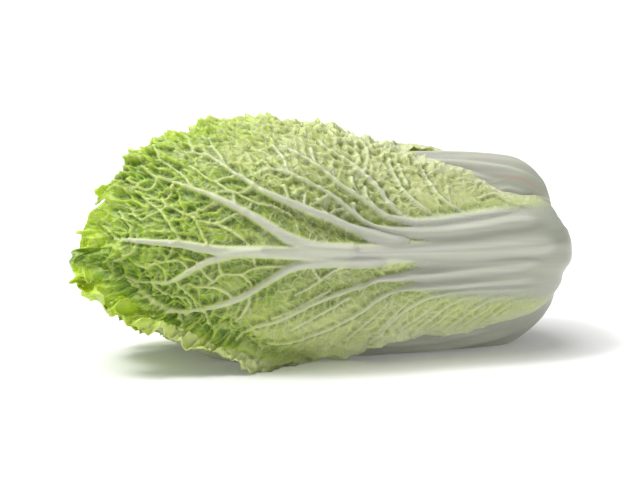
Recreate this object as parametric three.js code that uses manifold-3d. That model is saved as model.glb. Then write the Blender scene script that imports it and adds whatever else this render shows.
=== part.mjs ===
// A whole napa cabbage lying on its side: a short cut stem, a dense heart with frilled leaf tips, and
// eight wrapper leaves, each a thick white midrib with a thin veined blade and a waved margin.
//
// Millimetres, +Z up. The head's axis runs along X, the cut stem at +X and the leafy tip at -X, and it
// dips a little towards the stem, because the head lies on its straight lower side. The origin is under
// the middle of the head, on the surface that it lies on.
//
// Every leaf is laid out in "shell" coordinates: s is the distance along the head's skin from the stem
// to the tip, turn is the angle round the axis in degrees (0 faces -Y, 90 faces up), and h is the
// height above the skin. Leaves are laid on one after another, from the innermost to the outermost,
// and each lies on whatever is already under it, so heights start well below the skin.
import * as THREE from "three";
import { mergeVertices } from "three/addons/utils/BufferGeometryUtils.js";
import Module from "manifold-3d";

// ---- The head ----
// Half outline of the skin of the whole head, from the stem to the tip: [x along the axis, radius].
const SKIN_OUTLINE = [
  [143.5, 18], [146.5, 23], [147, 30], [144, 40], [136, 49.5], [122, 57.5], [104, 62.5], [80, 65.5],
  [47, 67.5], [10, 68], [-25, 67.5], [-52, 64.5], [-78, 57.5], [-104, 47], [-125, 33], [-141, 16], [-148, 2],
];
const AXIS_DIP_DEG = 2;
const PRESSED_FLAT = 3.4; // how far the head's weight flattens its lowest leaf
const GAP = 0.9; // air between a leaf and what it lies on
const SAG_SHARE = 0.6; // how much of the sag of a leaf's wide facets is added to that air
const FOOT_GAP = 0.35; // between a leaf's foot and the stem
const LEAST_THICKNESS = 0.8; // of a leaf that is pressed on the surface
const MARGIN_CLEARANCE = 0.3; // between the margins of the leaves outside it and the surface
const INNER_CLEARANCE = 1.2; // the same for the leaves inside it

// ---- The stem ----
const STEM_RADIUS = 17.6;
const STEM_CUT_X = 147;
const STEM_INNER_X = 122; // just clear of the heart
const STEM_FACETS = 36;

// ---- The wrapper leaves ----
const LEAF_PLACES = [
  "front", "back_high", "underside", "top", "back_low", "front_inner", "back_inner", "underside_inner",
];
const FIRST_TURN = 10;
const DIVERGENCE = 141; // degrees round the stem from one leaf to the next one in
// Margins of a leaf, as [share of its length, degrees above the midrib, degrees below it].
const LEAF_SPREAD = [
  [0, 54, 56], [0.09, 51, 58], [0.17, 45, 62], [0.23, 49, 64], [0.29, 60, 67], [0.36, 78, 72],
  [0.44, 91, 78], [0.54, 96, 80], [0.63, 97, 70], [0.72, 96, 63], [0.82, 90, 58], [0.91, 80, 54],
  [1, 62, 46],
];
const FRONT_SPREAD = [
  [0, 48, 52], [0.09, 43, 50], [0.17, 36, 52], [0.23, 37, 55], [0.29, 46, 58], [0.36, 52, 61],
  [0.44, 68, 67], [0.54, 88, 76], [0.63, 96, 73], [0.72, 96, 66], [0.82, 90, 62], [0.91, 80, 56],
  [1, 62, 46],
];
const BACK_HIGH_SPREAD = [
  [0, 50, 50], [0.09, 50, 48], [0.17, 47, 46], [0.23, 50, 46], [0.29, 60, 51], [0.36, 76, 58],
  [0.44, 90, 68], [0.54, 96, 80], [0.63, 97, 72], [0.72, 96, 64], [0.82, 90, 58], [0.91, 80, 54],
  [1, 62, 46],
];
// The white midrib, as [share of the leaf's length, half width, thickness].
const MIDRIB = [
  [0, 21, 4.4], [0.08, 28, 6.2], [0.18, 26, 6.8], [0.28, 21, 6.2], [0.38, 15, 5.2], [0.5, 9, 4.2],
  [0.65, 6.5, 3.2], [0.82, 3.8, 2.2], [1, 2.4, 1.3],
];
const MIDRIB_COLUMN = 0.35; // the share of a grid's half width that the midrib takes
const WIDEST_MIDRIB = 0.6; // as a share of the spread
const BLADE_THICKNESS = 0.95;
const VEIN_HEIGHT = 1.3;
const HIDDEN_VEIN_HEIGHT = 0.4; // under another leaf
const VEIN_FADE = 0.6; // how much of its height a vein has lost at the margin
const VEIN_SWEEP = 34; // how far a side vein runs towards the tip before it meets the margin
const LIP_FLARE = 4; // how far an open margin stands off
const FRONT_FLARE = 12; // the same for the lower margin of the front leaf
const MARGIN_WAVE = 2.6; // how far the margin waves in and out of the head
const MARGIN_LOBE = 0.03; // how far it waves along the head's skin, as a share of the spread
const RUFFLE_STEP = 1.85; // radians of a margin's wave from one row of the grid to the next
const TIP_ROUNDING = 30; // how far the tip's corners fall back

// ---- The heart ----
const HEART_TIPS = 8;
const HEART_DEPTH = [
  [0, 24], [0.12, 21], [0.25, 22], [0.42, 25], [0.5, 28], [0.6, 30], [0.7, 31], [0.85, 31], [1, 27],
];

const { clamp, degToRad: radians, lerp, smoothstep } = THREE.MathUtils;

// Reads column k of a table whose first column rises, with straight lines between its rows.
function tableAt(table, at, k = 1) {
  const next = Math.max(1, table.findIndex((row) => row[0] >= at));
  const [a, b] = at >= table.at(-1)[0] ? table.slice(-2) : [table[next - 1], table[next]];
  return lerp(a[k], b[k], clamp((at - a[0]) / (b[0] - a[0]), 0, 1));
}

// ---- Shell coordinates ----
const SKIN_STEPS = 180;
const INNER_LENGTH = 0.8; // the smaller outline inside the skin, as shares of the skin's length and radius
const INNER_RADIUS = 0.58;
const skinCurve = new THREE.SplineCurve(SKIN_OUTLINE.map(([x, r]) => new THREE.Vector2(x, r)));
const skinLength = skinCurve.getLength();
const skinPoints = skinCurve.getSpacedPoints(SKIN_STEPS);

// The skin's point at distance s from the stem, and the direction [nx, nr] in which heights are measured.
// These directions fan out from a smaller outline of the same shape, so that heights never cross.
function skinAt(s) {
  const at = clamp((s / skinLength) * SKIN_STEPS, 0, SKIN_STEPS - 1e-6);
  const point = skinPoints[Math.floor(at)].clone().lerp(skinPoints[Math.floor(at) + 1], at % 1);
  const out = new THREE.Vector2(point.x * (1 - INNER_LENGTH), point.y * (1 - INNER_RADIUS)).normalize();
  return { x: point.x, r: point.y, nx: out.x, nr: out.y };
}

const FOOT_REACH = 60; // the stretch of skin on which feet keep clear of the stem
function shellPoint(s, turn, h) {
  const skin = skinAt(s);
  const least = s < FOOT_REACH ? STEM_RADIUS + FOOT_GAP : 0;
  const r = Math.max(skin.r + h * skin.nr, least);
  const angle = radians(turn);
  return new THREE.Vector3(skin.x + h * skin.nx, -r * Math.cos(angle), r * Math.sin(angle));
}

// The height of what has been laid so far, on a fine map of shell coordinates.
const MAP_ROWS = 150;
const MAP_COLUMNS = 240;
const heartDepth = (s) => tableAt(HEART_DEPTH, s / skinLength);
const laid = Array.from({ length: MAP_ROWS }, (_, i) =>
  new Array(MAP_COLUMNS).fill(-heartDepth((i / (MAP_ROWS - 1)) * skinLength)),
);
const mapRow = (s) => clamp((s / skinLength) * (MAP_ROWS - 1), 0, MAP_ROWS - 1);
const mapColumn = (turn) => (turn / 360) * MAP_COLUMNS;
const wrapped = (column) => ((column % MAP_COLUMNS) + MAP_COLUMNS) % MAP_COLUMNS;

// The highest thing laid so far within a box of shell coordinates.
function highest(sLow, sHigh, turnLow, turnHigh) {
  let found = -Infinity;
  const columnLow = Math.floor(mapColumn(turnLow));
  const columnHigh = Math.min(Math.ceil(mapColumn(turnHigh)), columnLow + MAP_COLUMNS);
  for (let i = Math.floor(mapRow(sLow)); i <= Math.ceil(mapRow(sHigh)); i++) {
    for (let j = columnLow; j <= columnHigh; j++) found = Math.max(found, laid[i][wrapped(j)]);
  }
  return found;
}

// Raises the map to a triangle whose corners are [s, turn, h].
const LAY_STEPS = 9;
function lay(a, b, c) {
  for (let i = 0; i <= LAY_STEPS; i++) {
    for (let j = 0; j <= LAY_STEPS - i; j++) {
      const [p, q] = [i / LAY_STEPS, j / LAY_STEPS];
      const [s, turn, h] = a.map((x, k) => x * (1 - p - q) + b[k] * p + c[k] * q);
      const [row, column] = [Math.round(mapRow(s)), wrapped(Math.round(mapColumn(turn)))];
      laid[row][column] = Math.max(laid[row][column], h);
    }
  }
}

// ---- Blades: a grid of points on the inner face, thickened outwards into one closed solid ----
const nearby = (grid, i, j) => grid[clamp(i, 0, grid.length - 1)][clamp(j, 0, grid[0].length - 1)];

// Lays a grid of { s, turn, lift } on what is under it and gives each point its height h.
const SMOOTHING_PASSES = 3;
function drape(grid) {
  grid.forEach((row, i) => row.forEach((point, j) => {
    const around = [-1, 0, 1].flatMap((di) => [-1, 0, 1].map((dj) => nearby(grid, i + di, j + dj)));
    const [s, turns] = [around.map((p) => p.s), around.map((p) => p.turn)];
    const under = highest(Math.min(...s), Math.max(...s), Math.min(...turns), Math.max(...turns));
    const widest = Math.max(...turns.map((turn) => Math.abs(turn - point.turn)));
    const sag = skinAt(point.s).r * (1 - Math.cos(radians(widest / 2)));
    point.h = under + GAP + SAG_SHARE * sag;
  }));
  for (let pass = 0; pass < SMOOTHING_PASSES; pass++) {
    const mean = grid.map((row, i) => row.map((_, j) =>
      (nearby(grid, i - 1, j).h + nearby(grid, i + 1, j).h
        + nearby(grid, i, j - 1).h + nearby(grid, i, j + 1).h) / 4));
    grid.forEach((row, i) => row.forEach((point, j) => (point.h = Math.max(point.h, mean[i][j]))));
  }
  grid.forEach((row) => row.forEach((point) => (point.h += point.lift)));
}

// The triangles of a grid of points. Each cell is split along its shorter diagonal.
function gridTriangles(points) {
  const columns = points[0].length;
  const triangles = [];
  for (let i = 0; i < points.length - 1; i++) {
    for (let j = 0; j < columns - 1; j++) {
      const [a, b] = [i * columns + j, i * columns + j + 1];
      const [c, d] = [b + columns, a + columns];
      const falling = points[i][j].distanceTo(points[i + 1][j + 1]);
      const rising = points[i][j + 1].distanceTo(points[i + 1][j]);
      triangles.push(...(falling < rising ? [[a, b, c], [a, c, d]] : [[a, b, d], [b, c, d]]));
    }
  }
  return triangles;
}

// A closed solid between two grids of points with the same triangles on both.
function sheetGeometry(outer, inner) {
  const [rows, columns] = [outer.length, outer[0].length];
  const count = rows * columns;
  const faces = gridTriangles(inner).flatMap(([a, b, c]) => [a, b, c, a + count, c + count, b + count]);
  const ring = [];
  for (let j = 0; j < columns - 1; j++) ring.push(j);
  for (let i = 0; i < rows - 1; i++) ring.push(i * columns + columns - 1);
  for (let j = columns - 1; j > 0; j--) ring.push((rows - 1) * columns + j);
  for (let i = rows - 1; i > 0; i--) ring.push(i * columns);
  ring.forEach((p, k) => {
    const q = ring[(k + 1) % ring.length];
    faces.push(q, p, p + count, q, p + count, q + count);
  });
  const points = [...outer.flat(), ...inner.flat()];
  return new THREE.BufferGeometry().setFromPoints(points).setIndex(faces);
}

// Thickens a draped grid outwards, and lays its outer face on the map for the next leaf.
const STEEPEST = 0.62; // the least cosine of a slope that its thickness is corrected for
function bladeFaces(grid) {
  const inner = grid.map((row) => row.map((p) => shellPoint(p.s, p.turn, p.h)));
  grid.forEach((row, i) => row.forEach((point, j) => {
    const down = nearby(inner, i + 1, j).clone().sub(nearby(inner, i - 1, j));
    const across = nearby(inner, i, j + 1).clone().sub(nearby(inner, i, j - 1));
    const out = shellPoint(point.s, point.turn, point.h + 1).sub(inner[i][j]).normalize();
    const slope = across.cross(down).normalize().dot(out);
    point.top = point.h + point.thickness / Math.max(slope, STEEPEST);
  }));
  const outer = grid.map((row) => row.map((p) => shellPoint(p.s, p.turn, p.top)));
  const corners = grid.flat().map((p) => [p.s, p.turn, p.top]);
  for (const triangle of gridTriangles(inner)) lay(...triangle.map((k) => corners[k]));
  return { outer, inner };
}

// ---- Leaves ----
const LEAF_LENGTH = skinLength - 12; // the tip stops short of the pole
const COLUMNS = [0, 0.17, MIDRIB_COLUMN, 0.5, 0.67, 0.84, 1];
const FRONT_COLUMNS = [0, 0.17, MIDRIB_COLUMN, 0.48, 0.61, 0.74, 0.87, 1];
const ROWS = 23;
const FRONT_ROWS = 31;

const leafTurn = (index) => FIRST_TURN + DIVERGENCE * index;
const spreadTable = (index) => [FRONT_SPREAD, BACK_HIGH_SPREAD][index] ?? LEAF_SPREAD;
const signedTurn = (turn) => THREE.MathUtils.euclideanModulo(turn + 180, 360) - 180;

// How much of a leaf at this place lies open to the air, past the margins of the leaves outside it.
const OPEN_FROM = 0.92; // shares of the outer leaf's spread
const OPEN_PAST = 1.12;
function exposure(index, s, turn) {
  let open = 1;
  for (let outer = 0; outer < index; outer++) {
    const away = signedTurn(turn - leafTurn(outer));
    const spread = tableAt(spreadTable(outer), s / LEAF_LENGTH, away > 0 ? 1 : 2);
    open *= smoothstep(Math.abs(away) / spread, OPEN_FROM, OPEN_PAST);
  }
  return open;
}

// The wave of a leaf's margin at row i, from -1 to 1. The two sides and the leaves are out of step.
const ruffleAt = (index, i, side) => Math.sin(RUFFLE_STEP * i + 2.3 * index + 0.7 * side);
const ruffled = (share) => smoothstep(share, 0.25, 0.6); // the margin is plain beside the petiole

// A leaf's thickness: a rounded midrib, and a blade with a raised vein along every second row.
function leafThickness(i, c, share, out, open) {
  const round = Math.max(0, 1 - (Math.abs(c) / MIDRIB_COLUMN) ** 2) ** 0.7;
  const midrib = Math.max(0, tableAt(MIDRIB, share, 2) - BLADE_THICKNESS) * round;
  const isVein = i % 2 === 0;
  const height = lerp(HIDDEN_VEIN_HEIGHT, VEIN_HEIGHT, open) * (1 - VEIN_FADE * out);
  const vein = isVein ? height * smoothstep(out, 0, 0.1) : 0;
  return BLADE_THICKNESS + midrib + vein;
}

// How far a leaf's margin and tip stand off what is under them.
function marginLift(index, u, c, share, out, ruffle) {
  const rim = Math.max(smoothstep(out, 0.62, 1), smoothstep(u, 0.86, 1));
  const flare = index === 0 && c < 0 ? FRONT_FLARE : LIP_FLARE;
  const lip = lerp(0.6, flare, smoothstep(share, 0.35, 0.72));
  const wave = lerp(0.4, MARGIN_WAVE, ruffled(share)) * ruffle;
  return Math.max(0, lip * rim ** 1.6 + wave * rim ** 2);
}

// The grid of one leaf, from the foot to the tip and from its lower margin to its upper one. Rows
// follow the side veins, and the columns of the midrib narrow with it.
function leafGrid(index) {
  const half = index === 0 ? FRONT_COLUMNS : COLUMNS;
  const columns = [...half.slice(1).map((c) => -c).reverse(), ...half];
  const rows = index === 0 ? FRONT_ROWS : ROWS;
  return Array.from({ length: rows }, (_, i) => columns.map((c) => {
    const u = i / (rows - 1);
    const out = Math.max(0, (Math.abs(c) - MIDRIB_COLUMN) / (1 - MIDRIB_COLUMN));
    const s = u * (LEAF_LENGTH - TIP_ROUNDING * out ** 3) + VEIN_SWEEP * Math.sin(Math.PI * u) * out ** 1.2;
    const share = s / LEAF_LENGTH;
    const ruffle = ruffleAt(index, i, Math.sign(c));

    const spread = tableAt(spreadTable(index), share, c > 0 ? 1 : 2);
    const ribWidth = tableAt(MIDRIB, share) / Math.max(skinAt(s).r, STEM_RADIUS);
    const ribTurn = Math.min(THREE.MathUtils.radToDeg(ribWidth), spread * WIDEST_MIDRIB);
    const margin = spread * (1 - MARGIN_LOBE * ruffle * ruffled(share));
    const inRib = Math.abs(c) <= MIDRIB_COLUMN;
    const away = inRib ? (Math.abs(c) / MIDRIB_COLUMN) * ribTurn : lerp(ribTurn, margin, out);
    const turn = leafTurn(index) + Math.sign(c) * away;

    const open = exposure(index, s, turn);
    const thickness = leafThickness(i, c, share, out, open);
    const lift = open * marginLift(index, u, c, share, out, ruffle);
    return { s, turn, thickness, lift };
  }));
}

// ---- The heart: a dense core of folded leaves with frilled tips standing out of it, as one solid ----
// Each fold rises over a third of the way round and then steps down, and the folds wind round the core.
const HEART_ROWS = 21;
const HEART_COLUMNS = 30;
const FOLD_HEIGHT = 1.2;
const FOLDS = 3;
const FOLD_PITCH = 150; // the distance in which the folds wind on by one
const CORE_END_S = skinLength - 3;
function heartCore() {
  const points = [new THREE.Vector3(shellPoint(0, 0, -heartDepth(0)).x, 0, 0)];
  for (let i = 0; i < HEART_ROWS; i++) {
    const s = (i / (HEART_ROWS - 1)) * CORE_END_S;
    for (let j = 0; j < HEART_COLUMNS; j++) {
      const fold = ((FOLDS * j) / HEART_COLUMNS + s / FOLD_PITCH) % 1;
      points.push(shellPoint(s, (j / HEART_COLUMNS) * 360, -heartDepth(s) - FOLD_HEIGHT * fold));
    }
  }
  const tipPole = points.length;
  points.push(new THREE.Vector3(skinAt(skinLength).x + heartDepth(skinLength), 0, 0));
  const faces = [];
  for (let j = 0; j < HEART_COLUMNS; j++) {
    const k = (j + 1) % HEART_COLUMNS;
    faces.push(0, 1 + k, 1 + j);
    for (let i = 0; i < HEART_ROWS - 1; i++) {
      const [a, b] = [1 + i * HEART_COLUMNS + j, 1 + i * HEART_COLUMNS + k];
      faces.push(a, b, a + HEART_COLUMNS, b, b + HEART_COLUMNS, a + HEART_COLUMNS);
    }
    const last = 1 + (HEART_ROWS - 1) * HEART_COLUMNS;
    faces.push(tipPole, last + j, last + k);
  }
  return new THREE.BufferGeometry().setFromPoints(points).setIndex(faces);
}

// A frilled leaf tip, whose root is sunk in the core and whose margin stands free of it. Tips are laid
// from the innermost, number 0, outwards, and each ends a little short of the last.
const TIP_ROWS = 6;
const TIP_COLUMNS = 7;
const TIP_THICKNESS = 1.1;
const TIP_ROOT_S = 0.74 * skinLength;
const TIP_REACH = 0.972 * skinLength;
const TIP_STEP_BACK = 0.008 * skinLength;
const TIP_CORNER_BACK = 9; // how far a tip's corners fall back
const TIP_SPREAD = 48;
const TIP_FLARE = 2.5;
const TIP_WAVE = 1.2;
const ROOT_SUNK = 4;
function heartTip(k) {
  const middle = leafTurn(LEAF_PLACES.length + HEART_TIPS - k);
  const reach = TIP_REACH - k * TIP_STEP_BACK;
  const grid = Array.from({ length: TIP_ROWS }, (_, i) => {
    const u = i / (TIP_ROWS - 1);
    return Array.from({ length: TIP_COLUMNS }, (_, j) => {
      const c = (2 * j) / (TIP_COLUMNS - 1) - 1;
      const s = lerp(TIP_ROOT_S, reach, u) - TIP_CORNER_BACK * Math.abs(c) ** 3 * u;
      const turn = middle + c * TIP_SPREAD * lerp(0.9, 1.25, u);
      const isOutward = (i + j) % 2 === 0;
      const lift = TIP_FLARE * u ** 2 + (isOutward ? TIP_WAVE * u : 0);
      return { s, turn, thickness: TIP_THICKNESS, lift };
    });
  });
  drape(grid);
  grid[0].forEach((point) => (point.h = -heartDepth(point.s) - ROOT_SUNK));
  const { outer, inner } = bladeFaces(grid);
  return sheetGeometry(outer, inner);
}

// ---- Solids ----
const MERGE_WITHIN = 0.2; // corners of the joined heart closer than this become one
const wasm = await Module();
wasm.setup();

function toSolid(geometry) {
  const bare = mergeVertices(new THREE.BufferGeometry()
    .setAttribute("position", geometry.getAttribute("position"))
    .setIndex(geometry.getIndex()), 1e-3);
  return new wasm.Manifold(new wasm.Mesh({
    numProp: 3,
    vertProperties: bare.attributes.position.array,
    triVerts: new Uint32Array(bare.index.array),
  }));
}

function toGeometry(solid) {
  const mesh = solid.getMesh();
  return new THREE.BufferGeometry()
    .setAttribute("position", new THREE.BufferAttribute(mesh.vertProperties, 3))
    .setIndex(new THREE.BufferAttribute(mesh.triVerts, 1));
}

function heartGeometry() {
  const tips = Array.from({ length: HEART_TIPS }, (_, k) => toSolid(heartTip(k)));
  const joined = tips.reduce((whole, tip) => whole.add(tip), toSolid(heartCore()));
  const bodies = joined.decompose().sort((a, b) => b.volume() - a.volume());
  return toGeometry(bodies[0].simplify(MERGE_WITHIN)); // without loose scraps
}

function stemGeometry() {
  const profile = [
    [0, STEM_INNER_X], [14, STEM_INNER_X], [16.4, STEM_INNER_X + 6], [STEM_RADIUS, STEM_INNER_X + 12],
    [STEM_RADIUS, STEM_CUT_X - 2.2], [16.2, STEM_CUT_X - 0.5], [9, STEM_CUT_X], [0, STEM_CUT_X - 0.6],
  ];
  const turned = new THREE.LatheGeometry(profile.map(([r, x]) => new THREE.Vector2(r, x)), STEM_FACETS);
  return turned.rotateZ(-Math.PI / 2);
}

// ---- Assembly ----
const materialOf = (color, roughness) => new THREE.MeshStandardMaterial({ color, roughness, metalness: 0 });
const STEM_MATERIAL = materialOf(0xeeeadb, 0.55);
const HEART_MATERIAL = materialOf(0xcfdc8c, 0.5);
const LEAF_MATERIAL = materialOf(0xc3d68e, 0.45);

const head = new THREE.Group();
head.rotation.y = radians(AXIS_DIP_DEG);
function addNode(name, geometry, material) {
  const mesh = new THREE.Mesh(geometry, material);
  mesh.name = name;
  head.add(mesh);
}

addNode("stem", stemGeometry(), STEM_MATERIAL);
addNode("heart", heartGeometry(), HEART_MATERIAL);
const leaves = LEAF_PLACES.map((place, index) => ({ name: `leaf_${index + 1}_${place}`, index })).reverse();
for (const leaf of leaves) {
  const grid = leafGrid(leaf.index);
  drape(grid);
  Object.assign(leaf, bladeFaces(grid));
}

// The head's weight presses the lowest faces level with the surface under them.
head.updateMatrixWorld(true);
const toHead = head.matrixWorld.clone().invert();
const worldPoints = (points) => points.flat().map((p) => p.clone().applyMatrix4(head.matrixWorld));
const resting = leaves.find((leaf) => LEAF_PLACES[leaf.index] === "underside");
const floor = Math.min(...worldPoints(resting.outer).map((p) => p.z)) + PRESSED_FLAT;
function pressUp(points, least) {
  for (const point of points.flat()) {
    point.applyMatrix4(head.matrixWorld);
    point.z = Math.max(point.z, least);
    point.applyMatrix4(toHead);
  }
}
for (const leaf of leaves) {
  const clearance = leaf.index < resting.index ? MARGIN_CLEARANCE : INNER_CLEARANCE;
  const least = leaf === resting ? floor : floor + clearance;
  pressUp(leaf.outer, least);
  pressUp(leaf.inner, least + LEAST_THICKNESS);
  addNode(leaf.name, sheetGeometry(leaf.outer, leaf.inner), LEAF_MATERIAL);
}

const bounds = new THREE.Box3().setFromObject(head, true);
const middle = bounds.getCenter(new THREE.Vector3());
const cabbage = new THREE.Group();
cabbage.add(head);
cabbage.position.set(-middle.x, -middle.y, -floor);

export default cabbage;
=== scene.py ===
"""A whole napa cabbage lying on its side, dressed around its CAD frame.

Every leaf is laid out in the same "shell" coordinates as the CAD part: s is the distance along the head's
skin from the stem to the tip, turn is the angle round the head's axis in degrees (0 faces the camera, 90
faces up), and h is the height above the skin. A leaf's broad shape is read off its CAD node by casting
rays along h. This script adds the veins, the crinkled blade and the frilled margins as real relief, and
closes each leaf as a thin shell. Lengths are in millimetres until a mesh is made.
"""

import math

import bpy
import numpy as np
from mathutils import Matrix, Vector
from mathutils.bvhtree import BVHTree

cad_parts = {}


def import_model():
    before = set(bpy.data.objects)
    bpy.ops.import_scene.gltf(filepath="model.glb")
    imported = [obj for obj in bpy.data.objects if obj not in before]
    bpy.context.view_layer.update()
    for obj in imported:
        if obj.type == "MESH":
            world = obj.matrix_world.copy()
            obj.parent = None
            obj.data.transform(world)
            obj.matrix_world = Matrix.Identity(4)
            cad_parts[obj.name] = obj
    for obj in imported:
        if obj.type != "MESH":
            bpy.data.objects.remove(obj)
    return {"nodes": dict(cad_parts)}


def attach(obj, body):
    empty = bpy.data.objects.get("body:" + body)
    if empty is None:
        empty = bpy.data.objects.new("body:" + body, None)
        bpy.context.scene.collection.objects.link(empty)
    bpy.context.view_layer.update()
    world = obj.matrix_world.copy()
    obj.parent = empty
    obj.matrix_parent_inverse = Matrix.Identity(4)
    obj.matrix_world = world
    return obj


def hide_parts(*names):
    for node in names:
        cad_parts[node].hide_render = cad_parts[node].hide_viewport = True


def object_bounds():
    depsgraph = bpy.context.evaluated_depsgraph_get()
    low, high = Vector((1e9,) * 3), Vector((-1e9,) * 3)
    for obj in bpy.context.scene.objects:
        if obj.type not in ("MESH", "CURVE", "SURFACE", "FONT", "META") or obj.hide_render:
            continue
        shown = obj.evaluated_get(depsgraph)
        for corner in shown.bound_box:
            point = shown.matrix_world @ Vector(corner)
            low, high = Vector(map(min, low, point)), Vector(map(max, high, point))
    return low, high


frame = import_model()
cad_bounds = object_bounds()
nodes = frame["nodes"]
MM = 0.001

# ---- The head, as in the CAD part ----
SKIN_OUTLINE = [
    (143.5, 18), (146.5, 23), (147, 30), (144, 40), (136, 49.5), (122, 57.5), (104, 62.5), (80, 65.5),
    (47, 67.5), (10, 68), (-25, 67.5), (-52, 64.5), (-78, 57.5), (-104, 47), (-125, 33), (-141, 16),
    (-148, 2),
]
AXIS_DIP = math.radians(2)
STEM_CUT_X = 147
STEM_RADIUS = 17.6
INNER_LENGTH = 0.8  # heights fan out from a smaller outline, these shares of the skin's
INNER_RADIUS = 0.58
FOOT_REACH = 60  # the stretch of skin on which feet keep clear of the stem
FOOT_RADIUS = 17.95

# ---- The leaves, from the outermost inwards ----
LEAVES = [
    "leaf_1_front", "leaf_2_back_high", "leaf_3_underside", "leaf_4_top",
    "leaf_5_back_low", "leaf_6_front_inner", "leaf_7_back_inner", "leaf_8_underside_inner",
]
LEAF_ROWS = [371, 327, 291, 301, 281, 205, 205, 205]  # points along each leaf's outer face
LEAF_COLUMNS = [201, 177, 161, 161, 153, 117, 117, 117]
FIRST_TURN = 10
DIVERGENCE = 141
# Margins of a leaf: share of its length, degrees above the midrib, degrees below it.
SPREAD = np.array([
    (0, 54, 56), (0.09, 51, 58), (0.17, 45, 62), (0.23, 49, 64), (0.29, 60, 67), (0.36, 78, 72),
    (0.44, 91, 78), (0.54, 96, 80), (0.63, 97, 70), (0.72, 96, 63), (0.82, 90, 58), (0.91, 80, 54),
    (1, 62, 46),
])
FRONT_SPREAD = np.array([
    (0, 48, 56), (0.09, 43, 52), (0.17, 35, 52), (0.23, 35, 53), (0.26, 41, 56), (0.29, 46, 57),
    (0.36, 50, 58), (0.4, 60, 57), (0.44, 68, 55), (0.48, 74, 62), (0.54, 82, 73), (0.63, 95, 68),
    (0.68, 96, 62), (0.72, 96, 57), (0.82, 91, 53), (0.87, 88, 50), (0.91, 85, 43), (0.96, 80, 34),
    (1, 76, 30),
])
BACK_HIGH_SPREAD = np.array([
    (0, 50, 46), (0.09, 50, 44), (0.17, 47, 42), (0.23, 50, 43), (0.29, 60, 49), (0.36, 76, 57),
    (0.44, 90, 66), (0.54, 96, 78), (0.63, 97, 72), (0.72, 96, 64), (0.82, 90, 58), (0.91, 80, 54),
    (1, 62, 46),
])
# The white petiole: share of the leaf's length, its reach above and below its middle.
PETIOLE = np.array([
    (0, 27, 38), (0.08, 31, 41), (0.18, 28, 37), (0.28, 25, 33), (0.36, 22, 28), (0.43, 20, 23),
    (0.55, 18, 20),
])
PETIOLE_END = (0.43, 0.54)  # its end between the veins and on them
# The midrib: share of the leaf's length, its half width, and how far it stands out of the leaf's face.
MIDRIB = np.array([
    (0, 7, 0), (0.3, 7, 0.3), (0.4, 6.8, 1.0), (0.46, 6.3, 1.8), (0.52, 5.7, 2.3), (0.65, 3.7, 2.4),
    (0.8, 2.5, 1.8), (0.88, 1.5, 1.3), (0.94, 0.9, 0.7), (1, 0.6, 0.2),
])
BROAD_MIDRIB = {3: 1.35}  # the leaf at the top shows a broader white petiole
# The front leaf's lower margin is rolled outwards: share of its length, how much of the blade is rolled
# over, and how far round it goes, in degrees.
LIP = np.array([
    (0, 0, 0), (0.568, 0, 0), (0.583, 9, 35), (0.6, 24, 58), (0.625, 20, 70), (0.65, 12, 84),
    (0.68, 8, 94), (0.71, 6, 98), (0.8, 5, 102), (0.87, 7, 102), (0.93, 9, 102), (1, 9, 100),
])
LIP_RADIUS = 1.9
# The tip's margin is bent outwards too: how much of the blade on the front leaf and on the others.
TIP_CURL = (12, 7)
TIP_CURL_RADIUS = 2.0
# Lobes of two leaves' tips: the middle and width as shares of the half width, and the reach.
TIP_LOBES = {
    0: [(0.92, 0.11, 9), (0.66, 0.07, -13), (0.4, 0.12, 3), (-0.3, 0.12, -2), (-0.55, 0.05, -5)],
    1: [(-0.5, 0.32, -14), (-0.1, 0.3, -22), (0.5, 0.25, -9)],
}
VEIN_SWEEP = 34
TIP_ROUNDING = 30
BLADE_THICKNESS = 0.55
LEAST_Z = 0.25


def ease(x, low, high):
    """A smooth rise from 0 at low to 1 at high; fade is a fall."""
    t = np.clip((x - low) / (high - low), 0, 1)
    return t * t * (3 - 2 * t)


def fade(x, low, high):
    return 1 - ease(x, low, high)


def bell(x, width, power=2):
    """1 at 0, falling off to both sides; a higher power has a flatter top and steeper sides."""
    return np.exp(-(x / width) ** power)


def mix(a, b, t):
    return a + (b - a) * t


def column(table, at, k=1):
    return np.interp(at, table[:, 0], table[:, k])


def by_side(table, at, side):
    """A table's second column where side is above 0, and its third elsewhere."""
    return np.where(side > 0, column(table, at, 1), column(table, at, 2))


def bilinear(field, i, j):
    """A grid's value at row i and column j, which needn't be whole numbers."""
    i0 = np.minimum(i.astype(int), field.shape[0] - 2)
    j0 = np.minimum(j.astype(int), field.shape[1] - 2)
    fi, fj = i - i0, j - j0
    low = mix(field[i0, j0], field[i0, j0 + 1], fj)
    high = mix(field[i0 + 1, j0], field[i0 + 1, j0 + 1], fj)
    return mix(low, high, fi)


def lengths_along(path):
    """How far along a path each of its points is."""
    return np.concatenate([[0], np.cumsum(np.hypot(*np.diff(path, axis=0).T))])


# ---- Seeded noise ----
def hashed(i, j, seed):
    """A repeatable random number from 0 to 1 for each whole i and j."""
    v = np.sin(i * 127.1 + j * 311.7 + seed * 74.7) * 43758.5453
    return v - np.floor(v)


def noise(x, y, seed):
    """Smooth gradient noise, about -1 to 1, with features one unit apart."""
    i, j = np.floor(x), np.floor(y)
    fx, fy = x - i, y - j

    def corner(di, dj):
        angle = hashed(i + di, j + dj, seed) * 2 * math.pi
        return np.cos(angle) * (fx - di) + np.sin(angle) * (fy - dj)

    sx = fx ** 3 * (fx * (fx * 6 - 15) + 10)
    sy = fy ** 3 * (fy * (fy * 6 - 15) + 10)
    low = mix(corner(0, 0), corner(1, 0), sx)
    high = mix(corner(0, 1), corner(1, 1), sx)
    return 1.5 * mix(low, high, sy)


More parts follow.
